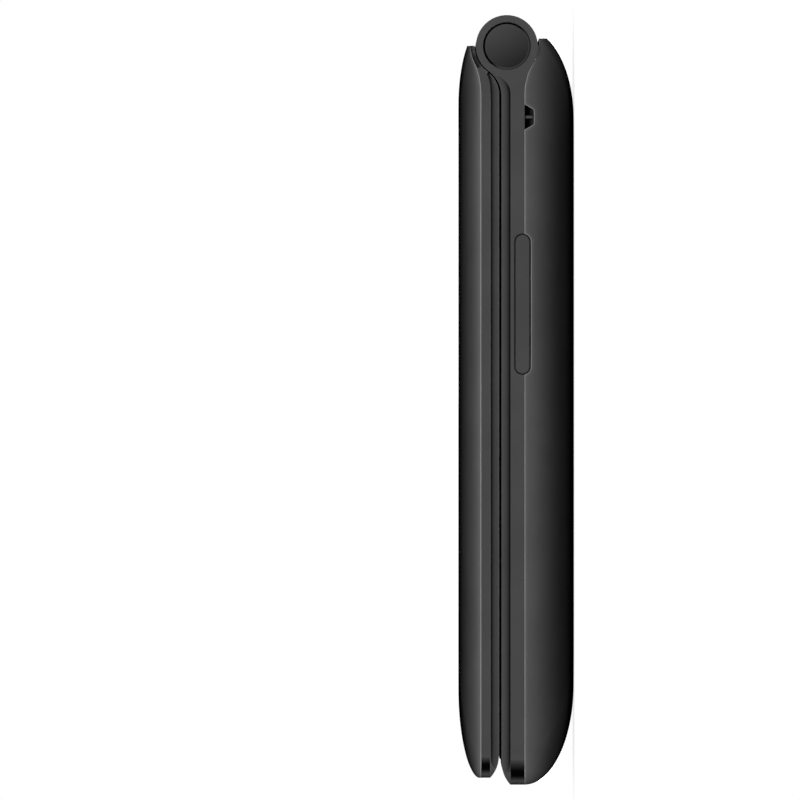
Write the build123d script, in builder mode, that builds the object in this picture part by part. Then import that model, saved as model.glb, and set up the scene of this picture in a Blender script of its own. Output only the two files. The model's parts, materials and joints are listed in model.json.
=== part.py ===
from build123d import *
import os
from math import cos, hypot, radians, sin, sqrt

os.makedirs("parts", exist_ok=True)

# A clamshell phone, closed and lying on its back. X is the width (+X is the user's right), +Y runs from
# the microphone end towards the hinge, and +Z points out of the lid. Z is 0 on the back of the phone.
# Places along the phone are given as t, the distance from the microphone end, and y(t) turns them into Y.
# All sizes are in millimetres.

# ------------------------------------------------------------------ overall form
WIDTH = 58.0
HALF = WIDTH / 2
THICKNESS = 17.35
HINGE_T = 110.8
HINGE_Z = 10.155
BARREL_R = 4.65
LENGTH = HINGE_T + BARREL_R
BELOW_Z, ABOVE_Z, BEYOND_T, BEYOND_X = -1, THICKNESS + 3, LENGTH + 5, HALF + 1
BARREL_GAP, KNUCKLE_GAP = 0.18, 0.03
RING_R = BARREL_R + BARREL_GAP

# parting lines: the height of the straight run and the radius that blends it into the ring round the hinge
SEAM_Z, SEAM_BLEND = 7.5, 9.0
BAND_Z, BAND_BLEND = 9.6, 3.0
FACE_Z, FACE_BLEND = 10.95, 4.5
LID_FACE_Z, LID_FACE_BLEND = 11.32, 4.2
LID_BAND_Z, LID_BAND_BLEND = 12.65, 5.5
LID_SEAM_Z, LID_SEAM_BLEND, LID_SEAM_RING = 14.0, 11.0, 5.45

# the two bowl-shaped covers: depth, and how far each edge sweeps in as an ellipse over that depth
REAR_SIDE_SWEEP, REAR_LOW_SWEEP, REAR_HIGH_SWEEP = 21.0, 15.0, 13.4
REAR_HIGH_T, REAR_CUT_T = 113.4, 112.0
REAR_WALL = 1.1
RIB_X, RIB_WIDTH, RIB_T, RIB_Z = 18.8, 0.8, (38.0, 90.0), (1.9, 3.4)
SNAP_T, SNAP_LENGTH, SNAP_X, SNAP_Z = (18.0, 47.0, 89.5), 4.0, (26.6, 27.7), (5.9, 6.5)
LID_DEPTH = THICKNESS - LID_SEAM_Z
LID_SIDE_SWEEP, LID_LOW_SWEEP, LID_HIGH_SWEEP = 14.0, 13.1, 10.94
LID_LOW_T, LID_HIGH_T, LID_CUT_T = 0.92, 113.28, 110.85
LID_WALL = 1.05
LID_END_T = 1.05
BASE_CORNER, LID_CORNER = 5.0, 4.2
TOP_CORNER = 1.0
BOWL_STEPS, BOWL_SPACING = 10, 0.8

# the finger groove between the halves, its narrow run round the hinge, and the rounded ends beside it
COVE_R, RING_COVE_R, RING_COVE_ANGLES = 1.28, 0.6, (52, 96)
NOSE_R = 5.0

# the raised rim round the keypad that the closed lid nearly meets
RIM_X, RIM_T, RIM_WALL, RIM_GAP = 26.9, (3.9, 106.4), 0.7, 0.1

# hinge: base knuckles at both ends, the lid's barrel between them
KNUCKLE_X = 18.5
LID_BARREL_X = 18.3
SEAT_R = 4.95
CAP_R, CAP_POCKET_R, CAP_DEPTH, CAP_RECESS, CAP_CHAMFER, CAP_PLUG = 3.5, 3.6, 0.9, 0.15, 0.2, 1.4
KNUCKLE_BORE_R = 2.9
CASE_R, CASE_BORE_R, SHAFT_R = 3.25, 2.5, 1.5
BUSH_R, BUSH_BORE_R = 2.88, 2.0
RUNNING = 0.05
CASE_X, CAM_X = (-18.1, -2.0), (-17.6, -14.6)
SPRING_R, SPRING_WIRE, SPRING_PITCH, SPRING_LENGTH = 2.02, 0.45, 2.2, 11.0
BUSH_X = (12.2, 26.6)
FLEX_X = (8.2, 11.4)

# base frame
BAND_WALL = 1.25
SHELF_Z, FLOOR_Z, FLOOR_UNDER_Z, LIP_Z = 8.0, 7.0, 6.4, 5.6
POCKET_X, LIP_X = 25.8, 26.8
LIP_T, POCKET_T, POCKET_END_T = 1.95, 2.95, 103.5
LIP_CORNER, POCKET_CORNER = 4.6, 3.6

# keypad
KEY_TOP_Z, FLANGE_TOP_Z, FLANGE_Z, STEM_Z = 10.8, 9.55, 9.1, 8.6
KEY_GAP, FLANGE_RIM, STEM_R = 0.15, 0.5, 1.5
NUMBER_SIZE, NUMBER_CORNER = (15.0, 10.5), 2.2
NUMBER_COLUMNS = (-17.0, 0.0, 17.0)
NUMBER_ROWS = (59.0, 46.0, 33.0, 20.0)
SIDE_SIZE, SIDE_X, SOFT_T, CALL_T = (12.5, 8.5), 18.6, 86.0, 74.0
NAV_T, NAV_SIZE, NAV_CORNER = 80.5, (22.0, 20.0), 7.0
OK_SIZE, OK_CORNER, OK_GAP = (10.0, 9.0), 2.4, 0.35
NAV_GAP, NAV_FLANGE_Z, NAV_FLANGE_TOP_Z = 0.25, 8.95, 9.2
OK_TOP_Z, OK_FLANGE_TOP_Z, OK_FLANGE_Z, OK_RIM = 10.75, 8.75, 8.55, 0.6
KEY_CHAMFER = 0.25
KEYPAD_WIDTH, KEYPAD_T = 48.0, (12.5, 92.5)
MEMBRANE_Z, PLUNGER_Z, PLUNGER_CORNER = (8.35, 8.65), (8.4, 8.65), 6.5
DOME_R, NAV_DOME_R, DOME_SHEET, DOME_RISE = 2.0, 1.5, 0.1, 0.2

# side features on the right
ROCKER_T, ROCKER_Z = 72.1, 7.8
ROCKER_SLOT, ROCKER_SIZE, ROCKER_PROUD = (21.2, 2.5), (20.86, 2.16), 0.25
LANYARD_T, LANYARD_Z, LANYARD_POST = 100.15, 6.1, 0.38

# electronics
PORT_SIZE, PORT_Z = (7.5, 2.5), 7.9
BOARD_Z, BOARD_TOP_Z, BOARD_X, BOARD_T = 7.1, 7.9, 25.5, (6.5, 103.0)
SCREW_X, BASE_SCREW_T = 23.0, (7.0, 99.3)
LID_SCREW_X, LID_SCREW_T = 22.3, (8.5, 98.0)
SCREW_R, SCREW_HOLE_R, BASE_HEAD_R, LID_HEAD_R, BOSS_R = 0.7, 0.72, 1.3, 1.4, 1.8
BUMPER_R, BUMPER_SEAT_Z, BUMPER_TOP_Z = 2.0, 11.9, 11.88
WINDOW_SIZE, WINDOW_T = (48.0, 68.0), 56.0
OUTER_SIZE, OUTER_T, CAMERA_T = (29.0, 42.0), 78.0, 93.0
EARPIECE_T = 11.0
WINDOW_FACE_Z, WINDOW_BACK_Z, MID_PLATE_Z = 11.42, 12.05, 13.55
OUTER_LEDGE_Z, OUTER_BACK_Z, LID_SCREW_END_Z, LID_BOARD_TOP_Z = 16.55, 16.0, 15.3, 14.65
WINDOW_LEDGE, OUTER_LEDGE, GLASS_GAP = 1.3, 1.2, 0.1
EARPIECE_SLOT, MESH_SIZE, MESH_Z = (9.0, 1.5), (10.2, 2.7), (11.78, 11.95)
CAMERA_R, LENS_R = 2.3, 2.4
WEB_ANGLE = 52
MICROPHONE_X, MICROPHONE_T, MICROPHONE_HOLE_R = -10.0, 8.7, 0.5
BATTERY_WIDTH, BATTERY_T, BATTERY_Z = 34.0, (38.0, 91.0), (1.95, 6.3)
SHIELD_WIDTH, SHIELD_T, SHIELD_TOP_Z, SHEET_METAL = 24.0, (93.5, 102.0), 9.4, 0.2
SOCKET_T, SOCKET_DEPTH, SOCKET_WALL = 0.35, 5.9, 0.3
SPEAKER_T, GRILLE_PITCH, GRILLE_SLOTS, GRILLE_SLOT, GRILLE_LENGTH = 26.5, 2.6, 6, 1.1, 8.0
MOTOR_X, MOTOR_Z, MOTOR_R, MOTOR_PIN_R, MOTOR_T = 15.0, 4.3, 1.9, 0.4, (20.0, 29.0)


def y(t):
    """The Y of a place t millimetres from the microphone end."""
    return t - LENGTH / 2


def slab(x, t, z, corner=0, mode=Mode.ADD):
    """A plate between two values of x, of t and of z, with its upright edges rounded."""
    with BuildSketch(Plane.XY.offset(z[0])) as plate:
        with Locations(((x[0] + x[1]) / 2, y((t[0] + t[1]) / 2))):
            if corner:
                RectangleRounded(x[1] - x[0], t[1] - t[0], corner)
            else:
                Rectangle(x[1] - x[0], t[1] - t[0])
    extrude(plate.sketch, amount=z[1] - z[0], mode=mode)


def disc(radius, x, t, z, mode=Mode.ADD):
    """Upright cylinders between two heights, one at each (x, t) pair of the two lists."""
    with BuildSketch(Plane.XY.offset(z[0])) as circles:
        with Locations(*[(px, y(pt)) for px in x for pt in t]):
            Circle(radius)
    extrude(circles.sketch, amount=z[1] - z[0], mode=mode)


def axle(radius, x, mode=Mode.ADD):
    """A cylinder on the hinge axis between two values of x."""
    with BuildSketch(Plane.YZ.offset(x[0])) as end_face:
        with Locations((y(HINGE_T), HINGE_Z)):
            Circle(radius)
    extrude(end_face.sketch, amount=x[1] - x[0], mode=mode)


def blend_arc(line_z, ring, blend, side):
    """The arc that leaves the line z = line_z and runs out on a ring round the hinge: its centre and ends."""
    centre_z = line_z + side * blend
    centre_t = HINGE_T - sqrt((ring + blend) ** 2 - (centre_z - HINGE_Z) ** 2)
    share = ring / (ring + blend)
    end = (HINGE_T + (centre_t - HINGE_T) * share, HINGE_Z + (centre_z - HINGE_Z) * share)
    start = (centre_t, line_z)
    bisector = ((start[0] + end[0]) / 2 - centre_t, (start[1] + end[1]) / 2 - centre_z)
    scale_up = blend / hypot(*bisector)
    middle = (centre_t + bisector[0] * scale_up, centre_z + bisector[1] * scale_up)
    return start, middle, end


def core(line_z, ring, blend, side, mode=Mode.ADD):
    """The side view of all that lies on the hinge's side of a parting line, the ring included.

    With side +1 that is everything behind the line, towards the back; with side -1 everything in front.
    """
    start, middle, end = blend_arc(line_z, ring, blend, side)
    far_z = HINGE_Z - side * 30
    with BuildLine() as boundary:
        Line((y(-5), line_z), (y(start[0]), start[1]))
        ThreePointArc((y(start[0]), start[1]), (y(middle[0]), middle[1]), (y(end[0]), end[1]))
        Polyline((y(end[0]), end[1]), (y(HINGE_T), HINGE_Z), (y(HINGE_T), far_z), (y(-5), far_z), (y(-5), line_z))
    make_face(boundary.edges(), mode=mode)
    with Locations((y(HINGE_T), HINGE_Z)):
        Circle(ring, mode=mode)


def outline(low, high, inset, corner, z, mode=Mode.INTERSECT):
    """The plan shape of a half: square at the hinge, rounded at the microphone end."""
    with BuildSketch(Plane.XY.offset(z[0])) as plan:
        with Locations((0, y((low + high) / 2))):
            Rectangle(WIDTH - 2 * inset, high - low)
        fillet(plan.vertices().group_by(Axis.Y)[0], corner)
    extrude(plan.sketch, amount=z[1] - z[0], mode=mode)


def bowl(seam_z, depth, sweeps, ends, corner, inset):
    """A dished cover: plan sections that shrink along ellipses from the seam to the flat of the cover."""
    side_sweep, low_sweep, high_sweep = sweeps
    inner_depth = depth - inset if depth > 0 else depth + inset
    sections = []
    for step in range(BOWL_STEPS + 1):
        lean = radians(90 * (step / BOWL_STEPS) ** BOWL_SPACING)
        drawn_in = 1 - cos(lean)
        half = HALF - inset - side_sweep * drawn_in
        low = ends[0] + inset + low_sweep * drawn_in
        high = ends[1] - inset - high_sweep * drawn_in
        with BuildSketch(Plane.XY.offset(seam_z + inner_depth * sin(lean))) as section:
            with Locations((0, y((low + high) / 2))):
                Rectangle(2 * half, high - low)
            fillet(section.vertices().group_by(Axis.Y)[0], corner - inset + 2.5 * drawn_in)
            fillet(section.vertices().group_by(Axis.Y)[-1], TOP_CORNER + 5.0 * drawn_in)
        sections.append(section.sketch)
    loft(sections)


def groove_pipe(line_z, ring, blend, radius):
    """A round rod along both long edges of a face, bent round the hinge with it."""
    start, middle, end = blend_arc(line_z, ring, blend, 1)
    for x in (-HALF, HALF):
        with BuildLine(Plane.YZ.offset(x)) as path:
            Line((y(-3), line_z), (y(start[0]), start[1]))
            ThreePointArc((y(start[0]), start[1]), (y(middle[0]), middle[1]), (y(end[0]), end[1]))
        with BuildSketch(Plane((x, y(-3), line_z), x_dir=(1, 0, 0), z_dir=(0, 1, 0))) as rod:
            Circle(radius)
        sweep(rod.sketch, path=path.line)


def nose(line_z, edge_z, end_t):
    """Rounds the microphone end of a face plate with an arc that runs out into its face."""
    rise = abs(edge_z - line_z)
    run = sqrt(NOSE_R**2 - (NOSE_R - rise) ** 2)
    centre_z = edge_z - NOSE_R if edge_z > line_z else edge_z + NOSE_R
    with BuildSketch(Plane.YZ) as waste:
        with Locations((y(end_t + run / 2 - 1), (line_z + edge_z) / 2)):
            Rectangle(run + 2, rise)
        with Locations((y(end_t + run), centre_z)):
            Circle(NOSE_R, mode=Mode.SUBTRACT)
    extrude(waste.sketch, amount=BEYOND_X, both=True, mode=Mode.SUBTRACT)


def side_slot(size, x, mode):
    """The rounded slot of the volume rocker, cut or raised along X."""
    with BuildSketch(Plane.YZ.offset(x[0])) as slot:
        with Locations((y(ROCKER_T), ROCKER_Z)):
            SlotOverall(size[0], size[1])
    extrude(slot.sketch, amount=x[1] - x[0], mode=mode)


def port_cut(reach):
    """The mouth of the charging port in whatever wall it passes."""
    with BuildSketch(Plane.XZ.offset(-y(-1))) as mouth:
        with Locations((0, PORT_Z)):
            RectangleRounded(PORT_SIZE[0] + 0.3, PORT_SIZE[1] + 0.3, 0.8)
    extrude(mouth.sketch, amount=-(1 + reach), mode=Mode.SUBTRACT)


def ring_plate(outer, inner, mode=Mode.ADD):
    """A frame-shaped plate: one slab with a smaller one taken out of it; each is (x, t, z, corner)."""
    with BuildPart() as ring:
        slab(*outer)
        slab(*inner, mode=Mode.SUBTRACT)
    add(ring.part, mode=mode)


def around(centre, size, spare=0.0):
    """The two end values of a span of some size about a centre, with spare added at each end."""
    return centre - size / 2 - spare, centre + size / 2 + spare


# every pressed key: name, x, t, size, corner
KEYS = []
NAMES = (("key_1", "key_2", "key_3"), ("key_4", "key_5", "key_6"), ("key_7", "key_8", "key_9"),
         ("key_star", "key_0", "key_hash"))
for row_t, row_names in zip(NUMBER_ROWS, NAMES):
    for column_x, key_name in zip(NUMBER_COLUMNS, row_names):
        KEYS.append((key_name, column_x, row_t, NUMBER_SIZE, NUMBER_CORNER))
KEYS.append(("soft_left_key", -SIDE_X, SOFT_T, SIDE_SIZE, NUMBER_CORNER))
KEYS.append(("soft_right_key", SIDE_X, SOFT_T, SIDE_SIZE, NUMBER_CORNER))
KEYS.append(("call_key", -SIDE_X, CALL_T, SIDE_SIZE, NUMBER_CORNER))
KEYS.append(("end_key", SIDE_X, CALL_T, SIDE_SIZE, NUMBER_CORNER))
NAV_DOMES = ((0, NAV_T + 7.2), (0, NAV_T - 7.2), (-8.0, NAV_T), (8.0, NAV_T), (0, NAV_T))

# ------------------------------------------------------------------ rear cover
REAR_SWEEPS = (REAR_SIDE_SWEEP, REAR_LOW_SWEEP, REAR_HIGH_SWEEP)
with BuildPart() as rear_cavity:
    bowl(SEAM_Z, -SEAM_Z, REAR_SWEEPS, (0, REAR_HIGH_T), BASE_CORNER, REAR_WALL)
    extrude(rear_cavity.faces().sort_by(Axis.Z)[-1], amount=0.5)
    axle(RING_R + REAR_WALL, (-HALF, HALF), Mode.SUBTRACT)
    slab((-HALF, HALF), (REAR_CUT_T - REAR_WALL, BEYOND_T), (BELOW_Z, HINGE_Z), mode=Mode.SUBTRACT)

with BuildPart() as rear_cover:
    bowl(SEAM_Z, -SEAM_Z, REAR_SWEEPS, (0, REAR_HIGH_T), BASE_CORNER, 0)
    slab((-BEYOND_X, BEYOND_X), (REAR_CUT_T, BEYOND_T), (BELOW_Z, HINGE_Z), mode=Mode.SUBTRACT)
    with BuildSketch(Plane.YZ):
        core(SEAM_Z, BARREL_R + KNUCKLE_GAP, SEAM_BLEND, -1)
    extrude(amount=BEYOND_X, both=True, mode=Mode.SUBTRACT)
    axle(RING_R, (-KNUCKLE_X, KNUCKLE_X), Mode.SUBTRACT)
    slab((-BEYOND_X, BEYOND_X), (HINGE_T, BEYOND_T), (HINGE_Z - RING_R, ABOVE_Z), mode=Mode.SUBTRACT)
    add(rear_cavity.part, mode=Mode.SUBTRACT)
    # ribs beside the battery, and the snap hooks that catch in the frame's lip
    for side in (-1, 1):
        slab(around(side * RIB_X, RIB_WIDTH), RIB_T, RIB_Z)
        for snap_t in SNAP_T:
            slab(sorted((side * SNAP_X[0], side * SNAP_X[1])), around(snap_t, SNAP_LENGTH), SNAP_Z)
    # loudspeaker slots through the flat of the back
    with BuildSketch(Plane.XY):
        with Locations((0, y(SPEAKER_T))):
            with GridLocations(GRILLE_PITCH, 0, GRILLE_SLOTS, 1):
                SlotOverall(GRILLE_LENGTH, GRILLE_SLOT, rotation=90)
    extrude(amount=REAR_WALL + 0.6, mode=Mode.SUBTRACT)
    side_slot(ROCKER_SLOT, (HALF - 2, BEYOND_X), Mode.SUBTRACT)
    port_cut(3)
    # the lanyard opening, a trapezium with its long side at the seam
    with BuildSketch(Plane.YZ.offset(LIP_X)) as lanyard_mouth:
        with BuildLine():
            Polyline(
                (y(LANYARD_T - 1.95), SEAM_Z + 0.1),
                (y(LANYARD_T - 1.1), LANYARD_Z),
                (y(LANYARD_T + 1.1), LANYARD_Z),
                (y(LANYARD_T + 1.95), SEAM_Z + 0.1),
                close=True,
            )
        make_face()
        fillet(lanyard_mouth.vertices().group_by(Axis.Y)[0], 0.35)
    extrude(amount=HALF - LIP_X + 1, mode=Mode.SUBTRACT)
rear_cover.part.label = "rear_cover"
export_step(rear_cover.part, "parts/rear_cover.step")

# ------------------------------------------------------------------ base frame with its hinge knuckles
ROCKER_ROOM = (HALF - BAND_WALL - 2.75, HALF - BAND_WALL)
ROCKER_SPAN = around(ROCKER_T, ROCKER_SLOT[0], 2.0)
with BuildPart() as base_frame:
    with BuildSketch(Plane.YZ):
        core(BAND_Z, BARREL_R, BAND_BLEND, 1)
        with BuildSketch(mode=Mode.INTERSECT):
            core(SEAM_Z, BARREL_R, SEAM_BLEND, -1)
    extrude(amount=HALF, both=True)
    outline(0, LENGTH + 1, 0, BASE_CORNER, (BELOW_Z, ABOVE_Z))
    slab(around(0, WIDTH, -BAND_WALL), (BAND_WALL, POCKET_END_T), (SHELF_Z, BAND_Z), 3.75, Mode.SUBTRACT)
    slab(around(0, 2 * POCKET_X), (POCKET_T, POCKET_END_T), (SEAM_Z, SHELF_Z), POCKET_CORNER, Mode.SUBTRACT)
    # the floor between the battery bay and the board, and the lip that the rear cover closes over
    slab(around(0, 2 * LIP_X), (LIP_T, POCKET_END_T + 1), (LIP_Z, SEAM_Z), LIP_CORNER)
    slab(around(0, 2 * POCKET_X), (POCKET_T, POCKET_END_T), (FLOOR_Z, SEAM_Z), POCKET_CORNER, Mode.SUBTRACT)
    slab(around(0, 2 * POCKET_X), (POCKET_T, POCKET_END_T), (LIP_Z, FLOOR_UNDER_Z), POCKET_CORNER, Mode.SUBTRACT)
    axle(SEAT_R, (-KNUCKLE_X, KNUCKLE_X), Mode.SUBTRACT)
    for side in (-1, 1):
        axle(CAP_POCKET_R, sorted((side * (HALF - CAP_DEPTH), side * BEYOND_X)), Mode.SUBTRACT)
        axle(KNUCKLE_BORE_R, sorted((side * (KNUCKLE_X - 1), side * HALF)), Mode.SUBTRACT)
    disc(SCREW_R + 0.1, (-SCREW_X, SCREW_X), BASE_SCREW_T, (LIP_Z, SHELF_Z), Mode.SUBTRACT)
    slab(ROCKER_ROOM, ROCKER_SPAN, (LIP_Z - 0.1, BAND_Z), mode=Mode.SUBTRACT)
    side_slot(ROCKER_SLOT, (HALF - 2, BEYOND_X), Mode.SUBTRACT)
    port_cut(6.45)
    # the lanyard post hangs from the band inside the opening, with the lip thinned beside it
    slab((LIP_X - 0.5, LIP_X + 0.5), around(LANYARD_T, 4.4), (LIP_Z - 0.1, SEAM_Z), mode=Mode.SUBTRACT)
    slab((HALF - 1.7, HALF - 0.6), around(LANYARD_T, LANYARD_POST), (LANYARD_Z + 0.2, SEAM_Z + 0.1))
    # the catches of the snap hooks
    for side in (-1, 1):
        for snap_t in SNAP_T:
            catch_x = sorted((side * (SNAP_X[0] - 0.15), side * (LIP_X + 0.1)))
            slab(catch_x, around(snap_t, SNAP_LENGTH, 0.2), (SNAP_Z[0] - 0.1, SNAP_Z[1] + 0.1), mode=Mode.SUBTRACT)
base_frame.part.label = "base_frame"
export_step(base_frame.part, "parts/base_frame.step")

# ------------------------------------------------------------------ keypad housing
with BuildPart() as base_groove:
    groove_pipe(FACE_Z, BARREL_R, FACE_BLEND, COVE_R)

with BuildPart() as keypad_rim:
    with BuildSketch(Plane.YZ):
        core(LID_FACE_Z - RIM_GAP, RING_R - RIM_GAP, LID_FACE_BLEND + RIM_GAP, 1)
        core(FACE_Z, BARREL_R, FACE_BLEND, 1, Mode.SUBTRACT)
    extrude(amount=HALF, both=True)
    slab(around(0, 2 * RIM_X), RIM_T, (FACE_Z - 0.1, HINGE_Z + BARREL_R), mode=Mode.INTERSECT)
    inner_span = (around(0, 2 * (RIM_X - RIM_WALL)), (RIM_T[0] + RIM_WALL, RIM_T[1] + 1))
    slab(*inner_span, (FACE_Z - 0.1, HINGE_Z + BARREL_R), mode=Mode.SUBTRACT)

with BuildPart() as keypad_housing:
    with BuildSketch(Plane.YZ):
        core(FACE_Z, BARREL_R, FACE_BLEND, 1)
        core(BAND_Z, BARREL_R, BAND_BLEND, 1, Mode.SUBTRACT)
    extrude(amount=HALF, both=True)
    outline(0, LENGTH + 1, 0, BASE_CORNER, (BELOW_Z, ABOVE_Z))
    nose(BAND_Z, FACE_Z, 0)
    add(base_groove.part, mode=Mode.SUBTRACT)
    add(keypad_rim.part)
    axle(SEAT_R, (-KNUCKLE_X, KNUCKLE_X), Mode.SUBTRACT)
    # the skirt that stands on the frame's shelf, and the bosses for the screws
    skirt_x = HALF - BAND_WALL - 0.1
    ring_plate(
        (around(0, 2 * skirt_x), (BAND_WALL + 0.1, POCKET_END_T - 0.1), (SHELF_Z, BAND_Z), 3.6),
        (around(0, 2 * skirt_x, -1.2), (BAND_WALL + 1.3, POCKET_END_T - 1.3), (SHELF_Z, BAND_Z), 2.4),
    )
    disc(BOSS_R, (-SCREW_X, SCREW_X), BASE_SCREW_T, (FLOOR_Z, BAND_Z))
    disc(SCREW_HOLE_R, (-SCREW_X, SCREW_X), BASE_SCREW_T, (FLOOR_Z, BAND_Z), Mode.SUBTRACT)
    slab(ROCKER_ROOM, ROCKER_SPAN, (SHELF_Z, BAND_Z), mode=Mode.SUBTRACT)
    port_cut(3)
    for _, key_x, key_t, key_size, key_corner in KEYS:
        key_span = (around(key_x, key_size[0], KEY_GAP), around(key_t, key_size[1], KEY_GAP))
        slab(*key_span, (BAND_Z, FACE_Z), key_corner + KEY_GAP, Mode.SUBTRACT)
    nav_span = (around(0, NAV_SIZE[0], NAV_GAP), around(NAV_T, NAV_SIZE[1], NAV_GAP))
    slab(*nav_span, (BAND_Z, FACE_Z), NAV_CORNER + NAV_GAP, Mode.SUBTRACT)
    disc(MICROPHONE_HOLE_R, (MICROPHONE_X,), (MICROPHONE_T,), (BAND_Z, FACE_Z), Mode.SUBTRACT)
keypad_housing.part.label = "keypad_housing"
export_step(keypad_housing.part, "parts/keypad_housing.step")


# ------------------------------------------------------------------ keys
def make_key(name, x, t, size, corner):
    """A keycap in its opening, the flange that holds it under the plate, and the stem over its dome."""
    with BuildPart() as key:
        slab(around(x, size[0]), around(t, size[1]), (FLANGE_TOP_Z, KEY_TOP_Z), corner)
        chamfer(key.faces().sort_by(Axis.Z)[-1].edges(), KEY_CHAMFER)
        slab(around(x, size[0], FLANGE_RIM), around(t, size[1], FLANGE_RIM), (FLANGE_Z, FLANGE_TOP_Z))
        disc(STEM_R, (x,), (t,), (STEM_Z, FLANGE_Z))
    key.part.label = name
    export_step(key.part, f"parts/{name}.step")


for key_record in KEYS:
    make_key(*key_record)

with BuildPart() as nav_ring:
    slab(around(0, NAV_SIZE[0]), around(NAV_T, NAV_SIZE[1]), (NAV_FLANGE_TOP_Z, KEY_TOP_Z), NAV_CORNER)
    chamfer(nav_ring.faces().sort_by(Axis.Z)[-1].edges(), 0.3)
    flange_span = (around(0, NAV_SIZE[0], FLANGE_RIM), around(NAV_T, NAV_SIZE[1], FLANGE_RIM))
    slab(*flange_span, (NAV_FLANGE_Z, NAV_FLANGE_TOP_Z), NAV_CORNER + FLANGE_RIM)
    ok_hole = (around(0, OK_SIZE[0], OK_GAP), around(NAV_T, OK_SIZE[1], OK_GAP))
    slab(*ok_hole, (NAV_FLANGE_Z, KEY_TOP_Z), OK_CORNER + OK_GAP, Mode.SUBTRACT)
nav_ring.part.label = "nav_ring"
export_step(nav_ring.part, "parts/nav_ring.step")

with BuildPart() as nav_plunger:
    slab(around(0, NAV_SIZE[0], -0.5), around(NAV_T, NAV_SIZE[1], -0.5), PLUNGER_Z, PLUNGER_CORNER)
    slab(around(0, OK_SIZE[0], 1.3), around(NAV_T, OK_SIZE[1], 1.3), PLUNGER_Z, OK_CORNER + 0.9, Mode.SUBTRACT)
nav_plunger.part.label = "nav_plunger"
export_step(nav_plunger.part, "parts/nav_plunger.step")

with BuildPart() as ok_key:
    slab(around(0, OK_SIZE[0]), around(NAV_T, OK_SIZE[1]), (OK_FLANGE_TOP_Z, OK_TOP_Z), OK_CORNER)
    chamfer(ok_key.faces().sort_by(Axis.Z)[-1].edges(), KEY_CHAMFER)
    ok_flange = (around(0, OK_SIZE[0], OK_RIM), around(NAV_T, OK_SIZE[1], OK_RIM))
    slab(*ok_flange, (OK_FLANGE_Z, OK_FLANGE_TOP_Z), OK_CORNER + OK_RIM)
ok_key.part.label = "ok_key"
export_step(ok_key.part, "parts/ok_key.step")

with BuildPart() as keypad_membrane:
    slab(around(0, KEYPAD_WIDTH), KEYPAD_T, MEMBRANE_Z, 2)
    slab(around(0, NAV_SIZE[0], 1), around(NAV_T, NAV_SIZE[1], 1), MEMBRANE_Z, NAV_CORNER, Mode.SUBTRACT)
    for _, key_x, key_t, _, _ in KEYS:
        disc(STEM_R + 0.3, (key_x,), (key_t,), MEMBRANE_Z, Mode.SUBTRACT)
keypad_membrane.part.label = "keypad_membrane"
export_step(keypad_membrane.part, "parts/keypad_membrane.step")

with BuildPart() as dome_sheet:
    sheet_top_z = BOARD_TOP_Z + DOME_SHEET
    slab(around(0, KEYPAD_WIDTH), KEYPAD_T, (BOARD_TOP_Z, sheet_top_z), 2)
    for _, key_x, key_t, _, _ in KEYS:
        disc(DOME_R, (key_x,), (key_t,), (sheet_top_z, sheet_top_z + DOME_RISE))
    for dome_x, dome_t in NAV_DOMES:
        disc(NAV_DOME_R, (dome_x,), (dome_t,), (sheet_top_z, sheet_top_z + DOME_RISE))
dome_sheet.part.label = "dome_sheet"
export_step(dome_sheet.part, "parts/dome_sheet.step")

# ------------------------------------------------------------------ board and what stands on it
with BuildPart() as main_board:
    slab(around(0, 2 * BOARD_X), BOARD_T, (BOARD_Z, BOARD_TOP_Z), 3.3)
    disc(BOSS_R + 0.2, (-SCREW_X, SCREW_X), BASE_SCREW_T, (BOARD_Z, BOARD_TOP_Z), Mode.SUBTRACT)
    slab(ROCKER_ROOM, ROCKER_SPAN, (BOARD_Z, BOARD_TOP_Z), mode=Mode.SUBTRACT)
main_board.part.label = "main_board"
export_step(main_board.part, "parts/main_board.step")

with BuildPart() as shield_can:
    slab(around(0, SHIELD_WIDTH), SHIELD_T, (BOARD_TOP_Z, SHIELD_TOP_Z), 0.8)
    inner_t = (SHIELD_T[0] + SHEET_METAL, SHIELD_T[1] - SHEET_METAL)
    inner_z = (BOARD_TOP_Z, SHIELD_TOP_Z - SHEET_METAL)
    slab(around(0, SHIELD_WIDTH, -SHEET_METAL), inner_t, inner_z, 0.6, Mode.SUBTRACT)
shield_can.part.label = "shield_can"
export_step(shield_can.part, "parts/shield_can.step")

with BuildPart() as microphone:
    slab(around(MICROPHONE_X, 3), around(MICROPHONE_T, 2.6), (BOARD_TOP_Z, 9.0), 0.3)
    disc(0.4, (MICROPHONE_X,), (MICROPHONE_T,), (8.6, 9.0), Mode.SUBTRACT)
microphone.part.label = "microphone"
export_step(microphone.part, "parts/microphone.step")

with BuildPart() as side_switch:
    slab((24.2, 25.4), around(ROCKER_T, 18.4), (BOARD_TOP_Z, 8.65))
    for switch_t in (ROCKER_T - 7.5, ROCKER_T + 7.5):
        slab((25.4, 26.0), around(switch_t, 2), (BOARD_TOP_Z, 8.5))
    slab(ROCKER_ROOM, ROCKER_SPAN, (6, BOARD_TOP_Z), mode=Mode.SUBTRACT)
side_switch.part.label = "side_switch"
export_step(side_switch.part, "parts/side_switch.step")

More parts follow.
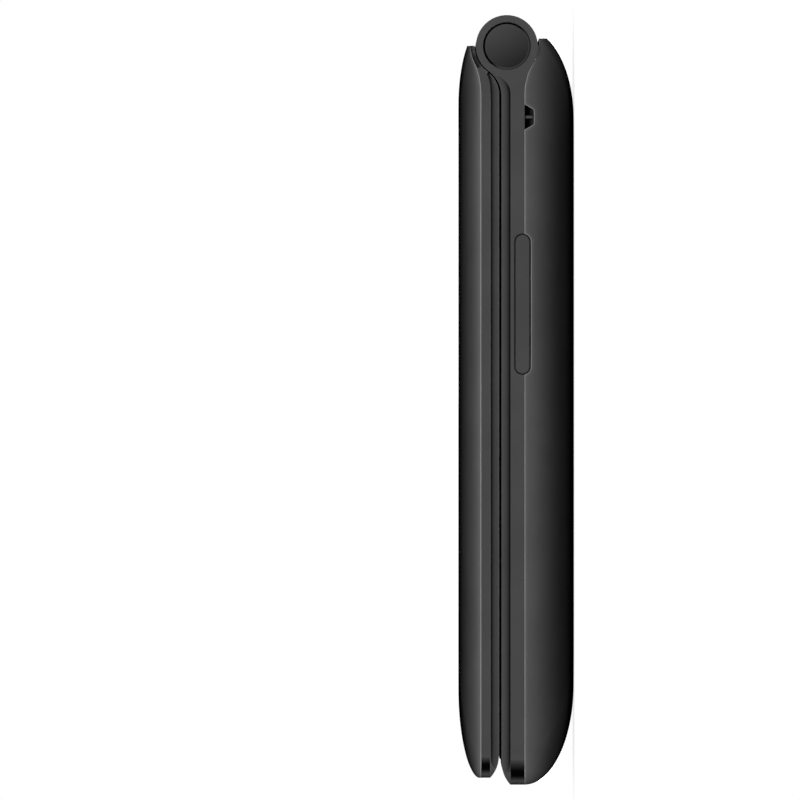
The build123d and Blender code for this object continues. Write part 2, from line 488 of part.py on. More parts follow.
with BuildPart() as usb_socket:
    with BuildSketch(Plane.XZ.offset(-y(SOCKET_T))):
        with Locations((0, PORT_Z)):
            RectangleRounded(PORT_SIZE[0], PORT_SIZE[1], 0.65)
    extrude(amount=-SOCKET_DEPTH)
    with BuildSketch(Plane.XZ.offset(-y(SOCKET_T))):
        with Locations((0, PORT_Z)):
            RectangleRounded(PORT_SIZE[0] - 2 * SOCKET_WALL, PORT_SIZE[1] - 2 * SOCKET_WALL, 0.4)
    extrude(amount=0.7 - SOCKET_DEPTH, mode=Mode.SUBTRACT)
    slab(around(0, 4.6), (1.0, 5.8), (PORT_Z, PORT_Z + 0.55))
usb_socket.part.label = "usb_socket"
export_step(usb_socket.part, "parts/usb_socket.step")

with BuildPart() as base_screws:
    disc(BASE_HEAD_R, (-SCREW_X, SCREW_X), BASE_SCREW_T, (LIP_Z, FLOOR_UNDER_Z))
    disc(SCREW_R, (-SCREW_X, SCREW_X), BASE_SCREW_T, (FLOOR_UNDER_Z, BAND_Z - 0.2))
base_screws.part.label = "base_screws"
export_step(base_screws.part, "parts/base_screws.step")

# ------------------------------------------------------------------ battery bay
with BuildPart() as battery:
    slab(around(0, BATTERY_WIDTH), BATTERY_T, BATTERY_Z, 1.5)
    chamfer(battery.faces().sort_by(Axis.Z)[-1].edges(), 0.3)
battery.part.label = "battery"
export_step(battery.part, "parts/battery.step")

with BuildPart() as battery_contacts:
    slab((3, 14), (91.4, 94.4), (3.2, FLOOR_UNDER_Z))
    for blade_x in (5.0, 8.5, 12.0):
        slab(around(blade_x, 1.1), (91.05, 91.4), (3.8, 5.6))
battery_contacts.part.label = "battery_contacts"
export_step(battery_contacts.part, "parts/battery_contacts.step")

with BuildPart() as sim_holder:
    slab((-20, -4), (92.4, 103.2), (5.0, FLOOR_UNDER_Z), 0.6)
    slab((-19.3, -4.7), (91, 102.4), (5.3, 6.1), mode=Mode.SUBTRACT)
    slab((-15.5, -8.5), (91, 98), (4.5, 5.4), mode=Mode.SUBTRACT)
sim_holder.part.label = "sim_holder"
export_step(sim_holder.part, "parts/sim_holder.step")

with BuildPart() as loudspeaker:
    slab(around(0, 18), around(SPEAKER_T, 13), (1.55, 4.6), 2.0)
    disc(4.6, (0,), (SPEAKER_T,), (4.6, 5.9))
    slab(around(0, 15), around(SPEAKER_T, 10), (1.55, 1.95), 1.5, Mode.SUBTRACT)
loudspeaker.part.label = "loudspeaker"
export_step(loudspeaker.part, "parts/loudspeaker.step")

with BuildPart() as vibration_motor:
    with BuildSketch(Plane.XZ.offset(-y(MOTOR_T[0]))):
        with Locations((MOTOR_X, MOTOR_Z)):
            Circle(MOTOR_R)
    extrude(amount=-(MOTOR_T[1] - MOTOR_T[0]))
    slab(around(MOTOR_X, 2.6), (MOTOR_T[0] + 1, MOTOR_T[1] - 1), (MOTOR_Z, FLOOR_UNDER_Z))
    with BuildSketch(Plane.XZ.offset(-y(MOTOR_T[1]))):
        with Locations((MOTOR_X, MOTOR_Z)):
            Circle(MOTOR_PIN_R)
    extrude(amount=-3.4)
vibration_motor.part.label = "vibration_motor"
export_step(vibration_motor.part, "parts/vibration_motor.step")

with BuildPart() as vibration_weight:
    with BuildSketch(Plane.XZ.offset(-y(MOTOR_T[1] + 0.4))):
        with Locations((MOTOR_X, MOTOR_Z)):
            Circle(MOTOR_R - 0.1)
        with Locations((MOTOR_X, MOTOR_Z + 1.6)):
            Rectangle(2 * MOTOR_R + 0.2, 2, mode=Mode.SUBTRACT)
        with Locations((MOTOR_X, MOTOR_Z)):
            Circle(MOTOR_PIN_R + RUNNING, mode=Mode.SUBTRACT)
    extrude(amount=-2.8)
vibration_weight.part.label = "vibration_weight"
export_step(vibration_weight.part, "parts/vibration_weight.step")

with BuildPart() as antenna:
    slab((-21, 6), (5.5, 16.5), (5.3, FLOOR_UNDER_Z), 1)
    for trace_t in (8.0, 11.0, 14.0):
        slab((-19.5, 4.5), around(trace_t, 1.4), (5.15, 5.3))
antenna.part.label = "antenna"
export_step(antenna.part, "parts/antenna.step")

# ------------------------------------------------------------------ volume rocker
with BuildPart() as volume_rocker:
    side_slot(ROCKER_SIZE, (27.05, HALF + ROCKER_PROUD), Mode.ADD)
    chamfer(volume_rocker.faces().sort_by(Axis.X)[-1].edges(), 0.12)
    slab((26.4, 27.05), around(ROCKER_T, ROCKER_SIZE[0], 0.5), (6.3, 9.35))
volume_rocker.part.label = "volume_rocker"
export_step(volume_rocker.part, "parts/volume_rocker.step")

# ------------------------------------------------------------------ hinge
HINGE_LINE = Axis((0, y(HINGE_T), HINGE_Z), (1, 0, 0))


def make_cap(name, side):
    """A flat cap sunk in a knuckle's end, with a chamfered rim and the plug that holds it in the bore."""
    back, face = HALF - CAP_DEPTH, HALF - CAP_RECESS
    with BuildPart() as cap:
        with BuildSketch(Plane.XZ.offset(-y(HINGE_T))):
            with BuildLine():
                Polyline(
                    (side * face, HINGE_Z),
                    (side * (back - CAP_PLUG), HINGE_Z),
                    (side * (back - CAP_PLUG), HINGE_Z + KNUCKLE_BORE_R - RUNNING),
                    (side * back, HINGE_Z + KNUCKLE_BORE_R - RUNNING),
                    (side * back, HINGE_Z + CAP_R),
                    (side * (face - CAP_CHAMFER), HINGE_Z + CAP_R),
                    (side * face, HINGE_Z + CAP_R - CAP_CHAMFER),
                    close=True,
                )
            make_face()
        revolve(axis=HINGE_LINE)
    cap.part.label = name
    export_step(cap.part, f"parts/{name}.step")


make_cap("hinge_cap_left", -1)
make_cap("hinge_cap_right", 1)

with BuildPart() as hinge_shaft:
    axle(KNUCKLE_BORE_R - 0.02, (-HALF + 2.4, -KNUCKLE_X - 0.1))
    axle(SHAFT_R, (-KNUCKLE_X - 0.1, CASE_X[1] - 2.2))
    slab((-HALF, -KNUCKLE_X - 2), (HINGE_T + 2.3, HINGE_T + 5), (5, 15), mode=Mode.SUBTRACT)
hinge_shaft.part.label = "hinge_shaft"
export_step(hinge_shaft.part, "parts/hinge_shaft.step")

with BuildPart() as hinge_case:
    axle(CASE_R, CASE_X)
    axle(CASE_BORE_R, (CASE_X[0], CASE_X[1] - 0.8), Mode.SUBTRACT)
hinge_case.part.label = "hinge_case"
export_step(hinge_case.part, "parts/hinge_case.step")

with BuildPart() as hinge_cam:
    axle(CASE_BORE_R - RUNNING, CAM_X)
    axle(SHAFT_R + RUNNING, (-18, -14), Mode.SUBTRACT)
    # two valleys across the cam face, where the lid snaps open and shut
    for lobe_y in (-2.0, 2.0):
        slab((-18, -16.8), around(HINGE_T + lobe_y, 1.2), (5, 15), mode=Mode.SUBTRACT)
hinge_cam.part.label = "hinge_cam"
export_step(hinge_cam.part, "parts/hinge_cam.step")

with BuildPart() as hinge_spring:
    with BuildLine() as coil:
        Helix(SPRING_PITCH, SPRING_LENGTH, SPRING_R, (CAM_X[1] + 0.3, y(HINGE_T), HINGE_Z), (1, 0, 0))
    with BuildSketch(Plane(coil.line @ 0, x_dir=(1, 0, 0), z_dir=coil.line % 0)):
        Rectangle(SPRING_WIRE, SPRING_WIRE)
    sweep(path=coil.line, is_frenet=True)
hinge_spring.part.label = "hinge_spring"
export_step(hinge_spring.part, "parts/hinge_spring.step")

with BuildPart() as pivot_bush:
    axle(BUSH_R, BUSH_X)
    axle(BUSH_BORE_R, (BUSH_X[0] - 1, BUSH_X[1] + 1), Mode.SUBTRACT)
pivot_bush.part.label = "pivot_bush"
export_step(pivot_bush.part, "parts/pivot_bush.step")

with BuildPart() as hinge_flex:
    axle(1.45, (FLEX_X[0], 24.5))
    axle(1.3, (FLEX_X[0] - 1, 26), Mode.SUBTRACT)
    slab(FLEX_X, (110.2, 110.4), (HINGE_Z + 1.35, 13.1))
    slab(FLEX_X, (98.0, 110.4), (12.95, 13.1))
    slab(FLEX_X, (98.0, 98.2), (12.95, LID_SEAM_Z + 0.05))
hinge_flex.part.label = "hinge_flex"
export_step(hinge_flex.part, "parts/hinge_flex.step")

# ------------------------------------------------------------------ lid frame with the hinge barrel
def on_ring(radius, angle):
    """A place round the hinge: 0 degrees lies towards the microphone end and 90 degrees points out of the lid."""
    return y(HINGE_T - radius * cos(radians(angle))), HINGE_Z + radius * sin(radians(angle))


with BuildPart() as ring_groove:
    low_angle, high_angle = RING_COVE_ANGLES
    for x in (-HALF, HALF):
        with BuildLine(Plane.YZ.offset(x)) as ring_path:
            ThreePointArc(*[on_ring(RING_R, a) for a in (low_angle, (low_angle + high_angle) / 2, high_angle)])
        with BuildSketch(Plane(ring_path.line @ 0, x_dir=(1, 0, 0), z_dir=ring_path.line % 0)) as ring_rod:
            Circle(RING_COVE_R)
        sweep(ring_rod.sketch, path=ring_path.line)

FLEX_ROOM = ((FLEX_X[0] - 0.2, FLEX_X[1] + 0.2), (103, HINGE_T), (12.8, 13.25))
with BuildPart() as lid_frame:
    with BuildSketch(Plane.YZ):
        core(LID_SEAM_Z, LID_SEAM_RING, LID_SEAM_BLEND, 1)
        core(LID_BAND_Z, RING_R, LID_BAND_BLEND, 1, Mode.SUBTRACT)
    extrude(amount=HALF, both=True)
    add(ring_groove.part, mode=Mode.SUBTRACT)
    slab((-HALF, HALF), (LID_CUT_T, BEYOND_T), (0, ABOVE_Z), mode=Mode.SUBTRACT)
    slab((-HALF, HALF), (HINGE_T - 1, BEYOND_T), (0, HINGE_Z), mode=Mode.SUBTRACT)
    outline(LID_END_T, LENGTH, 0, LID_CORNER, (0, ABOVE_Z))
    slab(around(0, WIDTH, -2), (LID_END_T + 2, 103.9), (LID_BAND_Z, MID_PLATE_Z), 2.5, Mode.SUBTRACT)
    ring_plate(
        (around(0, 2 * 27.2), (2.65, 103.4), (LID_SEAM_Z, LID_SEAM_Z + 0.6), 2.6),
        (around(0, 2 * 26.2), (3.65, 102.4), (LID_SEAM_Z, LID_SEAM_Z + 0.6), 1.8),
    )
    disc(BOSS_R - 0.1, (-LID_SCREW_X, LID_SCREW_X), LID_SCREW_T, (LID_BAND_Z, MID_PLATE_Z))
    disc(SCREW_R + 0.1, (-LID_SCREW_X, LID_SCREW_X), LID_SCREW_T, (LID_BAND_Z, LID_SEAM_Z), Mode.SUBTRACT)
    # the web that joins the barrel to the lid, a sector round the hinge axis
    with BuildSketch(Plane.YZ):
        with BuildLine():
            Polyline(
                (y(HINGE_T), HINGE_Z),
                (y(HINGE_T - 7 * cos(radians(WEB_ANGLE))), HINGE_Z + 7 * sin(radians(WEB_ANGLE))),
                (y(HINGE_T), HINGE_Z + 9),
                close=True,
            )
        make_face()
        with Locations((y(HINGE_T), HINGE_Z)):
            Circle(RING_R + 0.15, mode=Mode.INTERSECT)
    extrude(amount=LID_BARREL_X, both=True)
    axle(BARREL_R, (-LID_BARREL_X, LID_BARREL_X))
    axle(CASE_R + 0.02, (-LID_BARREL_X - 1, CASE_X[1] + 0.1), Mode.SUBTRACT)
    axle(BUSH_R + RUNNING, (FLEX_X[0] - 0.2, LID_BARREL_X + 1), Mode.SUBTRACT)
    slab(*FLEX_ROOM, mode=Mode.SUBTRACT)
    slab(FLEX_ROOM[0], (97.7, 98.5), (MID_PLATE_Z, LID_SEAM_Z), mode=Mode.SUBTRACT)
lid_frame.part.label = "lid_frame"
export_step(lid_frame.part, "parts/lid_frame.step")

# ------------------------------------------------------------------ lid bezel, the inner face of the lid
with BuildPart() as lid_groove:
    groove_pipe(LID_FACE_Z, RING_R, LID_FACE_BLEND, COVE_R)

with BuildPart() as lid_bezel:
    with BuildSketch(Plane.YZ):
        core(LID_BAND_Z, RING_R, LID_BAND_BLEND, 1)
        core(LID_FACE_Z, RING_R, LID_FACE_BLEND, 1, Mode.SUBTRACT)
    extrude(amount=HALF, both=True)
    outline(LID_END_T, LENGTH, 0, LID_CORNER, (0, ABOVE_Z))
    nose(LID_BAND_Z, LID_FACE_Z, LID_END_T)
    add(lid_groove.part, mode=Mode.SUBTRACT)
    window_span = (around(0, WINDOW_SIZE[0]), around(WINDOW_T, WINDOW_SIZE[1]))
    slab(*window_span, (LID_FACE_Z - 0.1, WINDOW_BACK_Z), 1.5, Mode.SUBTRACT)
    ledge_span = (around(0, WINDOW_SIZE[0], -WINDOW_LEDGE), around(WINDOW_T, WINDOW_SIZE[1], -WINDOW_LEDGE))
    slab(*ledge_span, (LID_FACE_Z, LID_BAND_Z), 0.8, Mode.SUBTRACT)
    slot_span = (around(0, EARPIECE_SLOT[0]), around(EARPIECE_T, EARPIECE_SLOT[1]))
    slab(*slot_span, (LID_FACE_Z - 0.1, LID_BAND_Z), EARPIECE_SLOT[1] / 2 - 0.01, Mode.SUBTRACT)
    mesh_seat = (around(0, MESH_SIZE[0], 0.1), around(EARPIECE_T, MESH_SIZE[1], 0.1))
    slab(*mesh_seat, (MESH_Z[0] - 0.03, LID_BAND_Z), 1.4, Mode.SUBTRACT)
    seat_span = (LID_FACE_Z - 0.1, BUMPER_SEAT_Z)
    disc(BUMPER_R + RUNNING, (-LID_SCREW_X, LID_SCREW_X), LID_SCREW_T, seat_span, Mode.SUBTRACT)
    head_span = (BUMPER_SEAT_Z, LID_BAND_Z)
    disc(LID_HEAD_R + 0.1, (-LID_SCREW_X, LID_SCREW_X), LID_SCREW_T, head_span, Mode.SUBTRACT)
    slab(*FLEX_ROOM, mode=Mode.SUBTRACT)
lid_bezel.part.label = "lid_bezel"
export_step(lid_bezel.part, "parts/lid_bezel.step")

# ------------------------------------------------------------------ lid cover
LID_SWEEPS = (LID_SIDE_SWEEP, LID_LOW_SWEEP, LID_HIGH_SWEEP)
with BuildPart() as lid_cavity:
    bowl(LID_SEAM_Z, LID_DEPTH, LID_SWEEPS, (LID_LOW_T, LID_HIGH_T), LID_CORNER, LID_WALL)
    extrude(lid_cavity.faces().sort_by(Axis.Z)[0], amount=0.5)
    axle(LID_SEAM_RING + 0.5, (-HALF, HALF), Mode.SUBTRACT)
    slab((-HALF, HALF), (LID_CUT_T - LID_WALL, BEYOND_T), (HINGE_Z, ABOVE_Z), mode=Mode.SUBTRACT)

with BuildPart() as lid_cover:
    bowl(LID_SEAM_Z, LID_DEPTH, LID_SWEEPS, (LID_LOW_T, LID_HIGH_T), LID_CORNER, 0)
    slab((-BEYOND_X, BEYOND_X), (LID_CUT_T, BEYOND_T), (HINGE_Z, ABOVE_Z), mode=Mode.SUBTRACT)
    slab((-BEYOND_X, BEYOND_X), (-1, LID_END_T), (HINGE_Z, ABOVE_Z), mode=Mode.SUBTRACT)
    with BuildSketch(Plane.YZ):
        core(LID_SEAM_Z, LID_SEAM_RING, LID_SEAM_BLEND, 1)
    extrude(amount=BEYOND_X, both=True, mode=Mode.SUBTRACT)
    add(lid_cavity.part, mode=Mode.SUBTRACT)
    disc(BOSS_R - 0.2, (-LID_SCREW_X, LID_SCREW_X), LID_SCREW_T, (LID_SEAM_Z + 0.1, OUTER_BACK_Z))
    disc(SCREW_HOLE_R, (-LID_SCREW_X, LID_SCREW_X), LID_SCREW_T, (LID_SEAM_Z, LID_SCREW_END_Z + 0.1), Mode.SUBTRACT)
    slab(around(0, OUTER_SIZE[0]), around(OUTER_T, OUTER_SIZE[1]), (OUTER_LEDGE_Z, ABOVE_Z), 2.6, Mode.SUBTRACT)
    outer_ledge = (around(0, OUTER_SIZE[0], -OUTER_LEDGE), around(OUTER_T, OUTER_SIZE[1], -OUTER_LEDGE))
    slab(*outer_ledge, (OUTER_BACK_Z, ABOVE_Z), 1.6, Mode.SUBTRACT)
lid_cover.part.label = "lid_cover"
export_step(lid_cover.part, "parts/lid_cover.step")

# ------------------------------------------------------------------ inside the lid
with BuildPart() as main_window:
    glass_span = (around(0, WINDOW_SIZE[0], -GLASS_GAP), around(WINDOW_T, WINDOW_SIZE[1], -GLASS_GAP))
    slab(*glass_span, (WINDOW_FACE_Z, WINDOW_BACK_Z), 1.4)
main_window.part.label = "main_window"
export_step(main_window.part, "parts/main_window.step")

with BuildPart() as main_display:
    panel_span = (around(0, WINDOW_SIZE[0], -1.7), around(WINDOW_T, WINDOW_SIZE[1], -1.7))
    slab(*panel_span, (LID_BAND_Z + 0.05, MID_PLATE_Z - 0.05), 0.6)
main_display.part.label = "main_display"
export_step(main_display.part, "parts/main_display.step")

with BuildPart() as earpiece:
    slab(around(0, 11), around(EARPIECE_T, 6), (LID_BAND_Z + 0.05, MID_PLATE_Z - 0.05), 2)
earpiece.part.label = "earpiece"
export_step(earpiece.part, "parts/earpiece.step")

with BuildPart() as earpiece_mesh:
    slab(around(0, MESH_SIZE[0]), around(EARPIECE_T, MESH_SIZE[1]), MESH_Z, 1.3)
earpiece_mesh.part.label = "earpiece_mesh"
export_step(earpiece_mesh.part, "parts/earpiece_mesh.step")

with BuildPart() as lid_bumpers:
    disc(BUMPER_R, (-LID_SCREW_X, LID_SCREW_X), (LID_SCREW_T[0],), (FACE_Z + 0.03, BUMPER_TOP_Z))
    disc(BUMPER_R, (-LID_SCREW_X, LID_SCREW_X), (LID_SCREW_T[1],), (LID_FACE_Z - 0.08, BUMPER_TOP_Z))
lid_bumpers.part.label = "lid_bumpers"
export_step(lid_bumpers.part, "parts/lid_bumpers.step")

with BuildPart() as lid_screws:
    disc(LID_HEAD_R, (-LID_SCREW_X, LID_SCREW_X), LID_SCREW_T, (BUMPER_SEAT_Z, LID_BAND_Z))
    disc(SCREW_R, (-LID_SCREW_X, LID_SCREW_X), LID_SCREW_T, (LID_BAND_Z, LID_SCREW_END_Z))
lid_screws.part.label = "lid_screws"
export_step(lid_screws.part, "parts/lid_screws.step")

with BuildPart() as lid_board:
    slab(around(0, 36), (50, 100), (LID_SEAM_Z + 0.05, LID_BOARD_TOP_Z), 1)
lid_board.part.label = "lid_board"
export_step(lid_board.part, "parts/lid_board.step")

with BuildPart() as outer_display:
    slab(around(0, 25.6), (58.6, 86.5), (LID_BOARD_TOP_Z, OUTER_BACK_Z + 0.15), 0.6)
outer_display.part.label = "outer_display"
export_step(outer_display.part, "parts/outer_display.step")

with BuildPart() as camera_module:
    slab(around(0, 7), around(CAMERA_T, 7), (LID_BOARD_TOP_Z, OUTER_BACK_Z + 0.1), 0.5)
    disc(CAMERA_R, (0,), (CAMERA_T,), (OUTER_BACK_Z + 0.1, OUTER_LEDGE_Z - 0.05))
camera_module.part.label = "camera_module"
export_step(camera_module.part, "parts/camera_module.step")

with BuildPart() as camera_lens:
    disc(LENS_R, (0,), (CAMERA_T,), (OUTER_LEDGE_Z, THICKNESS - 0.15))
camera_lens.part.label = "camera_lens"
export_step(camera_lens.part, "parts/camera_lens.step")

with BuildPart() as outer_window:
    outer_glass = (around(0, OUTER_SIZE[0], -GLASS_GAP), around(OUTER_T, OUTER_SIZE[1], -GLASS_GAP))
    slab(*outer_glass, (OUTER_LEDGE_Z, THICKNESS - 0.05), 2.5)
    disc(LENS_R + 0.1, (0,), (CAMERA_T,), (OUTER_BACK_Z, ABOVE_Z), Mode.SUBTRACT)
outer_window.part.label = "outer_window"
export_step(outer_window.part, "parts/outer_window.step")
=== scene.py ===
import json
import math

import bmesh
import bpy
from mathutils import Matrix, Vector


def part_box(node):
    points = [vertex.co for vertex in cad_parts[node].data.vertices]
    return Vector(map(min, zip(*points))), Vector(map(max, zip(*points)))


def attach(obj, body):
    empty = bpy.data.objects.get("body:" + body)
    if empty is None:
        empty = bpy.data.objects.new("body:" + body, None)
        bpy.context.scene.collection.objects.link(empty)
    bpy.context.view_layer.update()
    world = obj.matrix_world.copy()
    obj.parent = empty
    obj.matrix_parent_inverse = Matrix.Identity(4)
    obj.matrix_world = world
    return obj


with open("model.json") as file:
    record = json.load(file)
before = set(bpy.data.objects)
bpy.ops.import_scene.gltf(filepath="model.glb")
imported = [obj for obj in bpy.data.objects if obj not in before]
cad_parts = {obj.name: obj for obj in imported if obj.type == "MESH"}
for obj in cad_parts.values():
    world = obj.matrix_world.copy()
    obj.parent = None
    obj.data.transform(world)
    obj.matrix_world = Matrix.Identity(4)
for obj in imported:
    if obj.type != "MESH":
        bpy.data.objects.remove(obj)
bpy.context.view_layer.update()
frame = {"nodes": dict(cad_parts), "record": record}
nodes = frame["nodes"]

MM = 0.001
WHITE = (1, 1, 1, 1)
BLACK = (0, 0, 0)


# ------------------------------------------------------------------ places taken from the frame
def centre_of(node):
    """The middle of a node's box at rest."""
    low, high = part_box(node)
    return (Vector(low) + Vector(high)) / 2


def top_of(node):
    """The highest Z of a node at rest."""
    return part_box(node)[1][2]


# ------------------------------------------------------------------ camera
# The right side of the phone is seen square on, the hinge at the top of the picture, through a long lens.
SIDE_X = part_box("base_frame")[1][0]
LOW_END_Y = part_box("base_frame")[0][1]
PICTURE_SPAN = 119.93 * MM
PICTURE_CENTRE_Y = LOW_END_Y + 57.73 * MM
PICTURE_CENTRE_Z = 26.175 * MM
LENS, SENSOR = 1500, 36


def make_camera():
    data = bpy.data.cameras.new("camera")
    data.type = "PERSP"
    data.lens = LENS
    data.sensor_width = SENSOR
    data.clip_start, data.clip_end = 0.1, 100
    camera = bpy.data.objects.new("camera", data)
    bpy.context.scene.collection.objects.link(camera)
    right, up, back = Vector((0, 0, -1)), Vector((0, 1, 0)), Vector((1, 0, 0))
    place = Matrix((right, up, back)).transposed().to_4x4()
    place.translation = (SIDE_X + PICTURE_SPAN * LENS / SENSOR, PICTURE_CENTRE_Y, PICTURE_CENTRE_Z)
    camera.matrix_world = place
    bpy.context.scene.camera = camera


# ------------------------------------------------------------------ light, world and floor
WORLD_STRENGTH = 0.02
KEY_DISTANCE, KEY_LEAN = 1.3, math.radians(20)
KEY_PLACE = (KEY_DISTANCE * math.cos(KEY_LEAN), 0, KEY_DISTANCE * math.sin(KEY_LEAN))
PHONE_MIDDLE, FLOOR_MIDDLE = (0, 0, 0.01), (0, 0, 0)
# Each softbox: its place, the point that it faces, its width, its height and its power in watts.
SOFTBOXES = {
    "front_softbox": (KEY_PLACE, PHONE_MIDDLE, 0.9, 0.28, 13),
    "low_end_softbox": ((-0.1, -1.2, 0.2), PHONE_MIDDLE, 0.5, 0.3, 7),
    "far_side_softbox": ((-1.2, 0.2, 0.24), PHONE_MIDDLE, 0.9, 0.3, 10),
    "hinge_end_softbox": ((-0.35, 1.15, 0.26), PHONE_MIDDLE, 0.7, 0.3, 7),
    "overhead_softbox": ((-0.2, 0.1, 1.3), FLOOR_MIDDLE, 0.8, 0.8, 1.0),
}
FLOOR_SIZE = 60
FLOOR_COLOUR = (0.6, 0.6, 0.6, 1)
FLOOR_GLOW = (0.72, 1.0)
FLOOR_GLOW_REACH = (0.1, 0.7)


def area_light(name, place, target, width, height, power):
    """A softbox that lights the phone but isn't seen in its reflections."""
    data = bpy.data.lights.new(name, "AREA")
    data.shape = "RECTANGLE"
    data.size, data.size_y = width, height
    data.energy = power
    light = bpy.data.objects.new(name, data)
    bpy.context.scene.collection.objects.link(light)
    light.location = place
    light.rotation_euler = (Vector(target) - Vector(place)).to_track_quat("-Z", "Y").to_euler()
    light.visible_glossy = False


def make_lights():
    for name, settings in SOFTBOXES.items():
        area_light(name, *settings)


def white_to_the_eye(tree):
    """1 for the rays that should see the plain background: camera, glossy and transmission rays."""
    path = tree.nodes.new("ShaderNodeLightPath")
    total = path.outputs["Is Camera Ray"]
    for name in ("Is Glossy Ray", "Is Transmission Ray"):
        plus = tree.nodes.new("ShaderNodeMath")
        plus.operation = "ADD"
        plus.use_clamp = True
        tree.links.new(total, plus.inputs[0])
        tree.links.new(path.outputs[name], plus.inputs[1])
        total = plus.outputs[0]
    return total


def make_world():
    world = bpy.data.worlds.new("studio")
    bpy.context.scene.world = world
    world.use_nodes = True
    tree = world.node_tree
    tree.nodes.clear()
    mix = tree.nodes.new("ShaderNodeMixShader")
    for socket, strength in ((1, WORLD_STRENGTH), (2, 1.0)):
        light = tree.nodes.new("ShaderNodeBackground")
        light.inputs["Color"].default_value = WHITE
        light.inputs["Strength"].default_value = strength
        tree.links.new(light.outputs[0], mix.inputs[socket])
    out = tree.nodes.new("ShaderNodeOutputWorld")
    tree.links.new(white_to_the_eye(tree), mix.inputs[0])
    tree.links.new(mix.outputs[0], out.inputs[0])


def make_floor():
    """A pale floor that keeps the phone's shadow and fades to plain white away from it."""
    mesh = bpy.data.meshes.new("floor")
    corners = [(x * FLOOR_SIZE, y * FLOOR_SIZE, 0) for x, y in ((-1, -1), (1, -1), (1, 1), (-1, 1))]
    mesh.from_pydata(corners, [], [(0, 1, 2, 3)])
    floor = bpy.data.objects.new("floor", mesh)
    bpy.context.scene.collection.objects.link(floor)
    material = bpy.data.materials.new("floor")
    material.use_nodes = True
    tree = material.node_tree
    tree.nodes.clear()
    diffuse = tree.nodes.new("ShaderNodeBsdfDiffuse")
    diffuse.inputs["Color"].default_value = FLOOR_COLOUR
    away = tree.nodes.new("ShaderNodeVectorMath")
    away.operation = "LENGTH"
    place = tree.nodes.new("ShaderNodeTexCoord")
    tree.links.new(place.outputs["Object"], away.inputs[0])
    fade = ranged(tree, away.outputs["Value"], FLOOR_GLOW_REACH, FLOOR_GLOW, "SMOOTHSTEP")
    glow = tree.nodes.new("ShaderNodeEmission")
    tree.links.new(calculate(tree, "MULTIPLY", fade, white_to_the_eye(tree)), glow.inputs["Strength"])
    both = tree.nodes.new("ShaderNodeAddShader")
    out = tree.nodes.new("ShaderNodeOutputMaterial")
    tree.links.new(diffuse.outputs[0], both.inputs[0])
    tree.links.new(glow.outputs[0], both.inputs[1])
    tree.links.new(both.outputs[0], out.inputs[0])
    mesh.materials.append(material)


# ------------------------------------------------------------------ shader building blocks
def calculate(tree, operation, *values):
    """A Math node on sockets or plain numbers."""
    node = tree.nodes.new("ShaderNodeMath")
    node.operation = operation
    for socket, value in zip(node.inputs, values):
        if isinstance(value, (int, float)):
            socket.default_value = value
        else:
            tree.links.new(value, socket)
    return node.outputs[0]


def ranged(tree, value, source, target, interpolation="LINEAR"):
    """A value brought from one range into another, and held at its ends."""
    node = tree.nodes.new("ShaderNodeMapRange")
    node.interpolation_type = interpolation
    for name, number in zip(("From Min", "From Max", "To Min", "To Max"), (*source, *target)):
        node.inputs[name].default_value = number
    tree.links.new(value, node.inputs["Value"])
    return node.outputs["Result"]


def blended(tree, share, first, second):
    """One of two colours, or what lies between; each is a colour or a socket."""
    node = tree.nodes.new("ShaderNodeMix")
    node.data_type = "RGBA"
    tree.links.new(share, node.inputs["Factor"])
    for socket, colour in ((node.inputs["A"], first), (node.inputs["B"], second)):
        if isinstance(colour, tuple):
            socket.default_value = (*colour, 1)
        else:
            tree.links.new(colour, socket)
    return node.outputs["Result"]


def place_in_frame(tree, stretch=(1, 1, 1)):
    """The place on the object in metres, stretched for a grain that runs one way."""
    coordinates = tree.nodes.new("ShaderNodeTexCoord")
    mapping = tree.nodes.new("ShaderNodeMapping")
    mapping.inputs["Scale"].default_value = stretch
    tree.links.new(coordinates.outputs["Object"], mapping.inputs["Vector"])
    return mapping.outputs["Vector"]


def place_along(tree, axis):
    """The place on the object along one axis, in metres."""
    split = tree.nodes.new("ShaderNodeSeparateXYZ")
    tree.links.new(place_in_frame(tree), split.inputs[0])
    return split.outputs[axis]


# Most of a noise texture lies between these values.
NOISE_SPAN = (0.3, 0.7)


def noise(tree, size, detail=3, roughness=0.5, stretch=(1, 1, 1)):
    """A noise whose blotches are about size metres across."""
    texture = tree.nodes.new("ShaderNodeTexNoise")
    texture.inputs["Scale"].default_value = 1 / size
    texture.inputs["Detail"].default_value = detail
    texture.inputs["Roughness"].default_value = roughness
    tree.links.new(place_in_frame(tree, stretch), texture.inputs["Vector"])
    return texture.outputs["Fac"]


# Blender's wave texture runs through 20 radians for each unit of its scaled place.
WAVE_RADIANS = 20


def stripes(tree, pitch, axis):
    """Even stripes across one axis."""
    texture = tree.nodes.new("ShaderNodeTexWave")
    texture.bands_direction = axis
    texture.inputs["Scale"].default_value = 1 / (pitch * WAVE_RADIANS / math.tau)
    tree.links.new(place_in_frame(tree), texture.inputs["Vector"])
    return texture.outputs["Fac"]


# How alike a face's own normal and its rounded normal are, from flat to a full edge.
EDGE_TURN = (0.995, 0.86)


